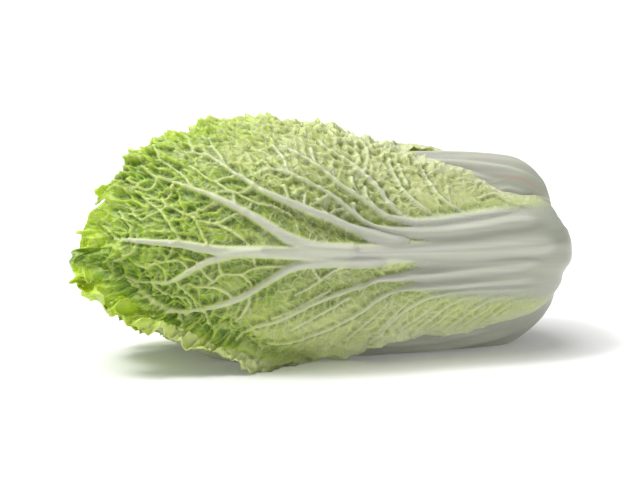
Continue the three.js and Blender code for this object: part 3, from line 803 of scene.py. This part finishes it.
    top = base + detail * np.cos(tip_turned) * np.cos(lip_turned) + rolled_up
    top = clear_of_laid(s_moved, turn_moved, top - thickness - CLEARANCE) + thickness + CLEARANCE
    # crest is a painted highlight on the relief's crests; net carries it with the real pale veinlet lines
    crest = ease(-depth, 0.3, 1.2)
    fading = ease(rough(15, 15, 14), -0.5, 0.5)
    lines = np.maximum(np.maximum(0.7 * net * fading, 0.35 * net_2), 0.85 * rung)
    lobe_shade = 0 * s
    if index == 0:  # the upper lobe of its tip gets painted shade, as a deeper green
        lobe_shade = bell(c - 0.88, 0.14) * ease(u, 0.88, 0.95)
    # The rolled-over lip gets painted light: it adds to net and edge and takes green away; lit_rim keeps
    # part of the painted shade off it, and off the margins near the foot.
    lit_rim = np.maximum(0.3 * folded, 0.8 * ease(out, MARGIN, 0.95) * before(0.36, 0.5))
    # margins are painted paler and brighter: partly their own colour, partly painted light shining
    # through the thin tissue
    margin = np.maximum(ease(out, MARGIN, 1), ease(u, 0.9, 1))
    # dip adds painted shade, a deeper green, where the blade sinks
    greener = past(0.3, 0.96) + (0.12 * ease(out, 0.5, 1) + 0.15 * dip) * leafy
    greener = greener * (1 - 0.35 * folded * before(0.8, 0.95))
    return {
        "s": s_moved, "turn": turn_moved, "top": top, "thickness": thickness, "flat": (s, b),
        "vein": np.clip(np.maximum(np.maximum(rib, 1.3 * ridge), 0.5 * before(0.09, 0.17)), 0, 1),
        "net": np.clip(lines * blade * (1 - 0.5 * frizz) + 0.7 * crest * blade + 0.55 * folded, 0, 1),
        # hollow is painted shade: in the relief's hollows, the troughs beside veins, where the blade
        # sinks below the midrib and veins, the lip's crease, the petiole's valleys and the tip's upper
        # lobe
        "hollow": np.clip((ease(depth, 0.1, 1.0) + 0.8 * trough + 0.6 * dip) * blade * (1 - lit_rim)
                          + 0.8 * crease + valley_shade + 0.45 * lobe_shade, 0, 1),
        "green": np.clip(greener, 0, 1),
        "edge": np.clip(margin * (1 - crease) + folded, 0, 1),
        "petiole": np.maximum(petiole, before(0.1, 0.2)),
    }


# ---- Meshes ----
def grid_quads(rows, columns, offset=0, reverse=False):
    i, j = np.meshgrid(np.arange(rows - 1), np.arange(columns - 1), indexing="ij")
    a = (offset + i * columns + j).ravel()
    quads = np.stack([a, a + 1, a + 1 + columns, a + columns], -1)
    return quads[:, ::-1] if reverse else quads


def tube_faces(rows, columns, flipped):
    """The faces of a closed tube of rows rings, whose two end points come last."""
    i, j = np.meshgrid(np.arange(rows - 1), np.arange(columns), indexing="ij")
    a, b = i * columns + j, i * columns + (j + 1) % columns
    quads = np.stack([a, b, b + columns, a + columns], -1).reshape(-1, 4)
    j = np.arange(columns)
    k = (j + 1) % columns
    first, base = rows * columns, (rows - 1) * columns
    foot = np.stack([j * 0 + first, k, j], -1)
    top = np.stack([j * 0 + first + 1, base + j, base + k], -1)
    faces = [quads, np.concatenate([foot, top])]
    return [np.hstack([f[:, :1], f[:, :0:-1]]) if flipped else f for f in faces]


def corners_of(faces):
    """Each corner's point, for pieces that have one place on the map for each point."""
    return np.concatenate([f.ravel() for f in faces])


def ring(rows, columns, offset=0):
    """The grid's border points, in order round it."""
    index = offset + np.arange(rows * columns).reshape(rows, columns)
    return np.concatenate([index[0, :-1], index[:-1, -1], index[-1, :0:-1], index[:0:-1, 0]])


def joined(parts):
    """Several (points, faces, attributes, uv, uv of each corner) as one."""
    starts = np.cumsum([0] + [len(part[0]) for part in parts])
    points = np.concatenate([part[0] for part in parts])
    faces = [f + start for part, start in zip(parts, starts) for f in part[1]]
    attributes = {key: np.concatenate([part[2][key] for part in parts]) for key in parts[0][2]}
    uv = np.concatenate([part[3] for part in parts])
    corners = np.concatenate([part[4] + start for part, start in zip(parts, starts)])
    return points, faces, attributes, uv, corners


def make_mesh(name, parts):
    """A mesh from millimetre points and arrays of faces."""
    points, faces, attributes, uv, uv_loops = joined(parts)
    mesh = bpy.data.meshes.new(name)
    loops = corners_of(faces)
    sizes = np.concatenate([np.full(len(f), f.shape[1]) for f in faces])
    mesh.vertices.add(len(points))
    mesh.vertices.foreach_set("co", (points * MM).astype(np.float32).ravel())
    mesh.loops.add(len(loops))
    mesh.loops.foreach_set("vertex_index", loops.astype(np.int32))
    mesh.polygons.add(len(sizes))
    mesh.polygons.foreach_set("loop_start", np.concatenate([[0], np.cumsum(sizes)[:-1]]).astype(np.int32))
    mesh.polygons.foreach_set("use_smooth", np.ones(len(sizes), bool))
    for key, values in attributes.items():
        kind, field = ("FLOAT", "value") if values.ndim == 1 else ("FLOAT_VECTOR", "vector")
        layer = mesh.attributes.new(key, kind, "POINT")
        layer.data.foreach_set(field, values.astype(np.float32).ravel())
    layer = mesh.uv_layers.new(name="OFBake")
    layer.data.foreach_set("uv", uv[uv_loops].astype(np.float32).ravel())
    mesh.update(calc_edges=True)
    mesh.validate()
    obj = bpy.data.objects.new(name, mesh)
    bpy.context.scene.collection.objects.link(obj)
    return obj


def pressed(points, least):
    points = points.copy()
    points[..., 2] = np.maximum(points[..., 2], least)
    return points


def inward(points):
    """Unit vectors into a sheet from its outer face, smoothed, and the smoothed face."""
    smooth = blurred(points, 2)
    way = np.cross(np.gradient(smooth, axis=0), np.gradient(smooth, axis=1))
    return way / np.maximum(np.linalg.norm(way, axis=-1, keepdims=True), 1e-9), smooth


def map_grid(rows, columns, low, high):
    """A grid's places on the texture map, in the strip from low to high."""
    i, j = np.meshgrid(np.linspace(0.01, 0.99, rows), np.linspace(low, high, columns), indexing="ij")
    return np.stack([i, j], -1).reshape(-1, 2)


def sheet_part(fields, least):
    """A closed thin shell: the outer face, an inner face with every second point, and the rim between."""
    s, turn, top = fields["s"], fields["turn"], fields["top"]
    rows, columns = s.shape
    outer = pressed(shell_point(s, turn, top), least)
    way, smooth = inward(outer)
    inner = pressed(mix(smooth, outer, 0.5) + way * fields["thickness"][..., None], least + 0.3)[::2, ::2]
    in_rows, in_columns = inner.shape[:2]
    count = rows * columns
    fine = ring(rows, columns)
    coarse = ring(in_rows, in_columns, count)
    f0, f1, f2 = fine[::2], fine[1::2], np.roll(fine, -2)[::2]
    c0, c1 = coarse, np.roll(coarse, -1)
    rim = np.concatenate([np.stack(t, -1) for t in ((f1, f0, c0), (f1, c0, c1), (f2, f1, c1))])
    rim_uv = np.concatenate([np.stack(t, -1) for t in ((f1, f0, f0), (f1, f0, f2), (f2, f1, f2))])
    faces = [grid_quads(rows, columns), grid_quads(in_rows, in_columns, count, reverse=True), rim]
    uv = np.concatenate([map_grid(rows, columns, 0.01, 0.71), map_grid(in_rows, in_columns, 0.73, 0.99)])
    uv_loops = np.concatenate([faces[0].ravel(), faces[1].ravel(), rim_uv.ravel()])
    both = lambda field: np.concatenate([field.ravel(), field[::2, ::2].ravel()])
    attributes = {key: both(fields[key]) for key in ("vein", "net", "hollow", "green", "edge", "petiole")}
    a, b = fields["flat"]
    attributes["flat"] = np.stack([both(a), both(b), both(a) * 0], -1)
    points = np.concatenate([outer.reshape(-1, 3), inner.reshape(-1, 3)])
    return points, faces, attributes, uv, uv_loops


# ---- The heart: a core of folded leaves with frilled tips ----
HEART_DEPTH = np.array([
    (0, 24), (0.12, 21), (0.25, 22), (0.42, 25), (0.5, 28), (0.6, 30), (0.7, 31), (0.85, 31), (1, 27),
])
HEART_TIPS = 9
TIP_ROWS, TIP_COLUMNS = 51, 57
TIP_ROOT = 0.72  # shares of the skin's length
TIP_REACH = 0.985
TIP_STACK = 2.1  # from one tip to the next one out


def heart_ceiling():
    """A function that gives the height of the CAD heart's outer face near the tip."""
    rows, columns = 40, 91
    s_list = np.linspace(TIP_ROOT * SKIN_LENGTH, SKIN_LENGTH - 1, rows)
    s_grid, turn_grid = np.meshgrid(s_list, np.linspace(0, 360, columns), indexing="ij")
    found = cast_heights("heart", s_grid, turn_grid)
    found = np.where(np.isnan(found), -column(HEART_DEPTH, s_grid / SKIN_LENGTH), found)
    found = blurred(found, 3)

    def height(s, turn):
        i = np.clip((s - s_list[0]) / (s_list[1] - s_list[0]), 0, rows - 1.001)
        return bilinear(found, i, turn % 360 / 4)
    return height


def heart_core():
    rows, columns = 90, 120
    turns = np.arange(columns) * 360 / columns
    s, turn = np.meshgrid(np.linspace(0.5, SKIN_LENGTH - 3, rows), turns, indexing="ij")
    fold = (turn / 120 + s / 150) % 1
    h = -column(HEART_DEPTH, s / SKIN_LENGTH) - 1.6 * fold - 0.4 * noise(s / 9, turn / 12, 500)
    points = shell_point(s, turn, h).reshape(-1, 3)
    ends = [shell_point(s[0], turn[0], h[0]).mean(0), shell_point(s[-1], turn[-1], h[-1]).mean(0)]
    points = np.vstack([points, ends])
    faces = tube_faces(rows, columns, False)
    flat_s = np.append(s.ravel(), [0, SKIN_LENGTH])
    flat_turn = np.append(turn.ravel(), [0, 0])
    size = len(points)
    nothing = np.zeros(size)
    uv = np.stack([flat_s / SKIN_LENGTH * 0.08 + 0.9, flat_turn / 370], -1)
    attributes = {
        # the whole core gets a little painted shade
        "vein": nothing, "net": nothing, "hollow": np.full(size, 0.2), "edge": nothing,
        "green": ease(flat_s / SKIN_LENGTH, 0.4, 1),
        "petiole": fade(flat_s / SKIN_LENGTH, 0.2, 0.5),
        "flat": np.stack([flat_s, flat_turn / 2, nothing], -1),
    }
    return points, faces, attributes, uv, corners_of(faces)


def heart_tip(k, ceiling):
    """One frilled tip. Tips are laid from the innermost, number 0, outwards."""
    u, c = np.meshgrid(np.linspace(0, 1, TIP_ROWS), np.linspace(-1, 1, TIP_COLUMNS), indexing="ij")
    seed = 600 + 10 * k
    middle = leaf_turn(len(LEAVES) + HEART_TIPS - k)
    reach = (TIP_REACH - 0.006 * k) * SKIN_LENGTH
    ragged = 3 * noise(c * 4, c * 0, seed) + 1.2 * noise(c * 11, c * 0, seed + 1)
    s = mix(TIP_ROOT * SKIN_LENGTH, reach + ragged, u) - 9 * np.abs(c) ** 3 * u
    s = np.clip(s, 0, SKIN_LENGTH - 1.5)
    away = c * 62 * mix(0.85, 1.25, u)
    turn = middle + away
    b = flat_b(s, away)
    inside, chance = cells(s / 7 + 20 * k, b / 6, seed + 2)
    rib = bell(b, 2.2)
    crinkle = 1 - 2.2 * np.abs(noise(s / 6, b / 6 + 3 * k, seed + 3))
    ruffle = noise(s / 11, away / 22, seed + 4)
    rising = ease(u, 0.1, 0.75)
    stack = -column(HEART_DEPTH, s / SKIN_LENGTH) + TIP_STACK * (k + 1) * rising
    top = np.minimum(stack, ceiling(s, turn) + 0.5)
    top = top + rising * (0.8 * rib - 0.7 * chance * ease(inside, 0, 0.5) + 0.7 * crinkle)
    top = top + ease(u, 0.7, 1) * (2.6 * ruffle + 1.6)
    top = mix(-column(HEART_DEPTH, s / SKIN_LENGTH) - 4, top, ease(u, 0, 0.12))
    # edge: margins painted brighter, partly their own colour, partly painted light through the thin
    # tissue
    edge = np.maximum(ease(np.abs(c), 0.75, 1), ease(u, 0.85, 1))
    return {
        "s": s, "turn": turn, "top": top, "thickness": np.full(s.shape, 0.5), "flat": (s + 37 * k, b),
        "vein": rib, "net": 0.8 * bell(inside, 0.13),
        # painted shade in the hollows of the cells
        "hollow": 0.5 * chance * ease(inside, 0, 0.5),
        "green": 0.35 + 0.4 * u, "edge": edge, "petiole": np.zeros(s.shape),
    }


# ---- The cut stem ----
STEM_PROFILE = [
    (0, 122), (14, 122), (16.4, 128), (17.6, 134), (17.6, 144.4), (17.2, 145.8), (16.2, 146.6),
    (14.5, 146.9), (9, 146.8), (4, 146.5), (0, 146.4),
]


def stem_part():
    profile = spline(STEM_PROFILE, 8)[1:-1]
    columns = 144
    angle = np.arange(columns) * 2 * math.pi / columns
    r = profile[:, :1] + 0 * angle
    x = profile[:, 1:] + 0 * angle
    cut = ease(x, 145.5, 146.6)
    r = r * (1 + 0.012 * noise(np.cos(angle) * 3 + 9, np.sin(angle) * 3, 700))
    fibres = noise(angle * 9 + 0 * r, r / 5, 701)
    r = r - 0.18 * (1 - cut) * np.abs(fibres)
    x = x - cut * (0.35 * np.abs(noise(r * np.cos(angle) / 2.6, r * np.sin(angle) / 2.6, 702)))
    local = np.stack([x, -r * np.cos(angle), r * np.sin(angle)], -1)
    ends = np.array([(122, 0, 0), (146.3, 0, 0)], float)
    rows = len(profile)
    points = (np.vstack([local.reshape(-1, 3), ends]) + head_at) @ tilt.T
    faces = tube_faces(rows, columns, True)
    radius = np.append(r.ravel(), [0, 0])
    side = np.append((angle + 0 * r).ravel(), [0, 0])
    run = np.append((np.arange(rows)[:, None] + 0 * r).ravel(), [0, rows])
    along = np.append(x.ravel(), [122, 146])
    attributes = {
        "radius": radius / STEM_RADIUS,
        "flat": np.stack([radius * np.cos(side), radius * np.sin(side), along], -1),
    }
    uv = np.stack([run / rows * 0.96 + 0.02, side / 6.4 + 0.01], -1)
    return points, faces, attributes, uv, corners_of(faces)


# ---- Materials ----
def linear(r, g, b):
    """An sRGB colour from 0 to 255 as Blender's linear one."""
    def one(v):
        v = v / 255
        return v / 12.92 if v <= 0.04045 else ((v + 0.055) / 1.055) ** 2.4
    return (one(r), one(g), one(b), 1)


class Nodes:
    """A new material, with a short way to write its node tree."""

    def __init__(self, name):
        self.material = bpy.data.materials.new(name)
        self.material.use_nodes = True
        self.tree = self.material.node_tree
        self.shader = self.tree.nodes["Principled BSDF"].inputs

    def everywhere(self, settings):
        """Sets what is the same all over the surface on the shader's own sockets."""
        for key, value in settings.items():
            self.shader[key].default_value = value

    def surface(self, colour, roughness, height, strength, distance):
        """Wires what varies over the surface; the bump's distance is in metres."""
        bump = self.add("ShaderNodeBump", {"Strength": strength, "Distance": distance, "Height": height})
        self.put(self.shader["Base Color"], colour)
        self.put(self.shader["Roughness"], roughness)
        self.put(self.shader["Normal"], bump)

    def put(self, socket, value):
        if isinstance(value, bpy.types.NodeSocket):
            self.tree.links.new(value, socket)
        else:
            socket.default_value = value

    def add(self, kind, inputs, output=0, **settings):
        """Adds a node with these inputs and gives one of its outputs."""
        node = self.tree.nodes.new(kind)
        for key, value in settings.items():
            setattr(node, key, value)
        for key, value in inputs.items():
            self.put(node.inputs[key], value)
        return node.outputs[output]

    def attribute(self, name, output="Fac"):
        return self.add("ShaderNodeAttribute", {}, output, attribute_name=name)

    def math(self, operation, a, b, clamp=False):
        return self.add("ShaderNodeMath", {0: a, 1: b}, operation=operation, use_clamp=clamp)

    def times(self, a, b):
        return self.math("MULTIPLY", a, b)

    def plus(self, a, b, clamp=False):
        return self.math("ADD", a, b, clamp)

    def rest_of(self, value, clamp=False):
        return self.math("SUBTRACT", 1.0, value, clamp)

    def mix(self, a, b, amount):
        return self.add("ShaderNodeMix", {0: amount, 6: a, 7: b}, 2, data_type="RGBA")

    def ramp(self, value, low, high):
        """0 below low, 1 above high and even between."""
        return self.add("ShaderNodeMapRange", {0: value, 1: low, 2: high}, clamp=True)

    def stretched(self, vector, scale):
        return self.add("ShaderNodeMapping", {"Vector": vector, "Scale": scale})

    def noise(self, vector, scale, detail=3.0):
        inputs = {"Vector": vector, "Scale": scale, "Detail": detail, "Roughness": 0.55}
        return self.add("ShaderNodeTexNoise", inputs, "Fac")

    def voronoi(self, vector, scale, feature="DISTANCE_TO_EDGE"):
        inputs = {"Vector": vector, "Scale": scale}
        return self.add("ShaderNodeTexVoronoi", inputs, "Distance", feature=feature)

    def bent(self, vector, scale, reach):
        """A vector pushed about by noise, so that lines drawn from it are crooked."""
        push = self.add("ShaderNodeTexNoise", {"Vector": vector, "Scale": scale}, "Color")
        inputs = {0: push, 1: (reach, reach, 0), 2: vector}
        return self.add("ShaderNodeVectorMath", inputs, operation="MULTIPLY_ADD")

    def veinlets(self, edge_distance, width, strength):
        """Lines along the edges of cells, 1 on a line and 0 between, stronger and weaker by places."""
        return self.times(self.rest_of(self.ramp(edge_distance, 0.0, width)), strength)


WHITE_RIB = linear(201, 202, 192)
RIB_GREEN = linear(185, 188, 171)
# the petiole's colour in painted shade, in its valleys
RIB_VALLEY_SHADE = linear(156, 161, 141)
VEIN_PALE = linear(214, 221, 184)
VEIN_BRIGHT = linear(196, 212, 122)
# pale colours for veinlet lines, for painted highlights on crests and for painted light on the lip
CREST_PALE = linear(224, 235, 166)
CREST_BRIGHT = linear(184, 212, 66)
BLADE_PALE = linear(200, 211, 134)
BLADE_GREEN = linear(164, 187, 56)
BLADE_DEEP = linear(128, 168, 2)
# the greens of painted shade in hollows, also of the blade's darker specks
HOLLOW_PALE = linear(114, 138, 18)
HOLLOW_DEEP = linear(48, 94, 0)
# margin colours: partly the leaf's own, partly painted light shining through the thin tissue
EDGE_PALE = linear(232, 240, 196)
EDGE_BRIGHT = linear(198, 232, 56)
STREAK_RED = linear(206, 170, 140)
FLESH_DEPTH = 0.003  # metres that light goes into the flesh


def leaf_material(name, vivid=0.0, red_streaks=0.0):
    n = Nodes(name)
    flat = n.attribute("flat", "Vector")
    vein, net, hollow = n.attribute("vein"), n.attribute("net"), n.attribute("hollow")
    green, edge, petiole = n.attribute("green"), n.attribute("edge"), n.attribute("petiole")
    patches = n.noise(flat, 0.045, 4)
    specks = n.noise(flat, 0.35, 4)
    streaks = n.noise(n.stretched(flat, (0.008, 0.22, 1)), 1.0, 4)
    bent = n.bent(flat, 0.16, 5.0)
    small_veins = n.veinlets(n.voronoi(bent, 0.19), 0.12, n.ramp(n.noise(flat, 0.09, 2), 0.3, 0.6))
    fine_places = n.ramp(n.noise(flat, 0.2, 2), 0.35, 0.65)
    fine_veins = n.veinlets(n.voronoi(n.bent(flat, 0.4, 1.6), 0.5), 0.09, fine_places)

    # The blade: pale by the petiole, vivid at the tip, darkened by painted shade in its hollows, and
    # brighter at its margin, partly its own paler colour and partly painted light shining through the
    # thin tissue.
    amount = n.plus(n.plus(green, n.times(patches, 0.6)), vivid - 0.3, clamp=True)
    blade = n.mix(BLADE_PALE, BLADE_GREEN, n.ramp(amount, 0.3, 0.8))
    blade = n.mix(blade, BLADE_DEEP, n.ramp(amount, 0.72, 1.0))
    # the margin: partly its own paler colour, partly painted light shining through the thin tissue
    margin = n.mix(EDGE_PALE, EDGE_BRIGHT, n.ramp(green, 0.3, 0.8))
    blade = n.mix(blade, margin, n.times(edge, 0.75))
    # painted shade: hollow darkens the blade towards these greens; the specks after it are the leaf's own
    # random tone
    deepest = n.mix(HOLLOW_PALE, HOLLOW_DEEP, n.ramp(amount, 0.45, 0.95))
    blade = n.mix(blade, deepest, n.times(hollow, 0.85))
    blade = n.mix(blade, deepest, n.times(n.ramp(specks, 0.45, 0.8), 0.2))
    line = n.mix(VEIN_PALE, VEIN_BRIGHT, n.ramp(amount, 0.5, 0.95))
    blade = n.mix(blade, line, n.times(fine_veins, 0.5))
    blade = n.mix(blade, line, n.times(small_veins, n.plus(n.times(amount, 0.45), 0.4)))
    # net: the pale veinlet lines, with painted highlights on the relief's crests and painted light on the
    # lip
    crest = n.mix(CREST_PALE, CREST_BRIGHT, n.ramp(amount, 0.4, 0.9))
    blade = n.mix(blade, crest, n.times(net, 0.75))

    # Ribs and veins: white by the stem, greener further out.
    rib = n.mix(RIB_GREEN, WHITE_RIB, n.ramp(streaks, 0.35, 0.65))
    if red_streaks:
        red = n.times(n.ramp(streaks, 0.54, 0.66), red_streaks)
        rib = n.mix(rib, STREAK_RED, red)
    # painted shade in the petiole's valleys and hollows
    rib = n.mix(rib, RIB_VALLEY_SHADE, n.times(hollow, 0.75))
    rib = n.mix(line, rib, n.ramp(n.plus(petiole, n.times(vein, 0.7)), 0.25, 0.8))
    colour = n.mix(blade, rib, n.ramp(vein, 0.12, 0.6))

    # The sheen, the light in the flesh, and the relief that is too fine for the mesh.
    n.everywhere({
        "Subsurface Weight": 0.5, "Subsurface Radius": (0.9, 1.0, 0.3), "Subsurface Scale": FLESH_DEPTH,
        "Coat Weight": 0.12, "Coat Roughness": 0.3,
    })
    rough = n.plus(n.times(specks, 0.22), 0.3)
    grooves = n.times(n.times(streaks, petiole), 0.5)
    pores = n.times(n.noise(flat, 1.4, 3), 0.25)
    both_nets = n.plus(n.times(fine_veins, 0.35), n.times(small_veins, 0.9))
    small_net = n.times(both_nets, n.rest_of(vein, clamp=True))
    height = n.plus(n.plus(grooves, pores), small_net)
    n.surface(colour, rough, height, strength=0.75, distance=0.0008)
    return n.material


CUT_CREAM = linear(226, 216, 184)
CUT_GREEN = linear(196, 206, 150)
CUT_BROWN = linear(168, 134, 88)


def stem_material():
    n = Nodes("stem_cut")
    flat, radius = n.attribute("flat", "Vector"), n.attribute("radius")
    blotches = n.noise(flat, 0.28, 5)
    bundles = n.voronoi(flat, 0.85, "F1")
    dots = n.times(n.rest_of(n.ramp(bundles, 0.12, 0.3)), n.ramp(radius, 0.45, 0.7))
    colour = n.mix(CUT_CREAM, CUT_GREEN, n.ramp(n.plus(radius, n.times(blotches, 0.3)), 0.85, 1.2))
    colour = n.mix(colour, CUT_BROWN, n.ramp(blotches, 0.52, 0.75))
    colour = n.mix(colour, CUT_BROWN, n.times(dots, 0.6))
    n.everywhere({
        "Subsurface Weight": 0.15, "Subsurface Radius": (1.0, 0.8, 0.4), "Subsurface Scale": FLESH_DEPTH,
    })
    rough = n.plus(n.times(blotches, 0.3), 0.4)
    height = n.plus(n.noise(flat, 1.2, 5), n.times(dots, 0.5))
    n.surface(colour, rough, height, strength=0.6, distance=0.0006)
    return n.material


# ---- Building ----
def dress(name, parts, material):
    """Stands a mesh in for a CAD node."""
    piece = make_mesh(name + "_look", parts)
    piece.data.materials.append(material)
    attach(piece, "root")
    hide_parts(name)


dress("stem", [stem_part()], stem_material())
ceiling = heart_ceiling()
tips = [heart_tip(k, ceiling) for k in range(HEART_TIPS)]
for tip in tips:
    lay(tip["s"], tip["turn"], tip["top"])
heart_parts = [heart_core()] + [sheet_part(tip, 1.0) for tip in tips]
dress("heart", heart_parts, leaf_material("heart_skin", vivid=-0.1))
front, small_front = front_veins()
midrib = front_midrib()
VEIN_SHIFT = 7  # the other leaves have the front leaf's veins, each moved along by up to this much
RED_STREAKS = {3: 0.6}  # the leaf at the top has reddish streaks in its petiole
for index in reversed(range(len(LEAVES))):
    rows, columns = LEAF_ROWS[index], LEAF_COLUMNS[index]
    veins = front + small_front
    if index:
        rng = np.random.default_rng(40 + index)
        mirror = -1 if index % 2 else 1
        veins = [(path * (1, mirror) + (rng.uniform(-VEIN_SHIFT, VEIN_SHIFT), 0), wide, narrow)
                 for path, wide, narrow in front]
        veins = with_branches(veins, 70 + index)
    straight = midrib if index == 0 else midrib * (1, 0)
    fields = leaf_fields(index, veins, straight, rows, columns)
    lay(fields["s"], fields["turn"], fields["top"])
    name = LEAVES[index]
    skin = leaf_material(name + "_skin", red_streaks=RED_STREAKS.get(index, 0.1))
    dress(name, [sheet_part(fields, 0.0 if index == 2 else LEAST_Z)], skin)

# ---- Floor, light and world ----
floor_mesh = bpy.data.meshes.new("floor")
FLOOR = 4  # metres from its middle to its sides
floor_corners = [(-FLOOR, -FLOOR, 0), (FLOOR, -FLOOR, 0), (FLOOR, FLOOR, 0), (-FLOOR, FLOOR, 0)]
floor_mesh.from_pydata(floor_corners, [], [(0, 1, 2, 3)])
floor = bpy.data.objects.new("floor", floor_mesh)
bpy.context.scene.collection.objects.link(floor)
floor_nodes = Nodes("floor_white")
floor_nodes.everywhere({"Base Color": (0.9, 0.9, 0.9, 1), "Roughness": 0.7})
# as a table lit from below
floor_nodes.everywhere({"Emission Color": (1, 1, 1, 1), "Emission Strength": 0.1})
floor_mesh.materials.append(floor_nodes.material)


def sun(name, way, energy, degrees):
    data = bpy.data.lights.new(name, "SUN")
    data.energy, data.angle = energy, math.radians(degrees)
    light = bpy.data.objects.new(name, data)
    light.matrix_world = Vector(way).to_track_quat("-Z", "Y").to_matrix().to_4x4()
    bpy.context.scene.collection.objects.link(light)


sun("overhead_softbox", (0.3, -0.12, -1), energy=2.4, degrees=55)
sun("key_softbox", (0.5, -0.03, -0.85), energy=1.2, degrees=14)

FILL_LIGHT = 0.36
BACKDROP_LIGHT = 1.05  # as the camera sees it
world = bpy.data.worlds.new("studio")
world.use_nodes = True
background = world.node_tree.nodes["Background"]
background.inputs["Color"].default_value = (1, 1, 1, 1)
light_path = world.node_tree.nodes.new("ShaderNodeLightPath")
brightness = world.node_tree.nodes.new("ShaderNodeMapRange")
brightness.inputs["To Min"].default_value = FILL_LIGHT
brightness.inputs["To Max"].default_value = BACKDROP_LIGHT
world.node_tree.links.new(light_path.outputs["Is Camera Ray"], brightness.inputs[0])
world.node_tree.links.new(brightness.outputs[0], background.inputs["Strength"])
bpy.context.scene.world = world
bpy.context.scene.view_settings.view_transform = "Standard"
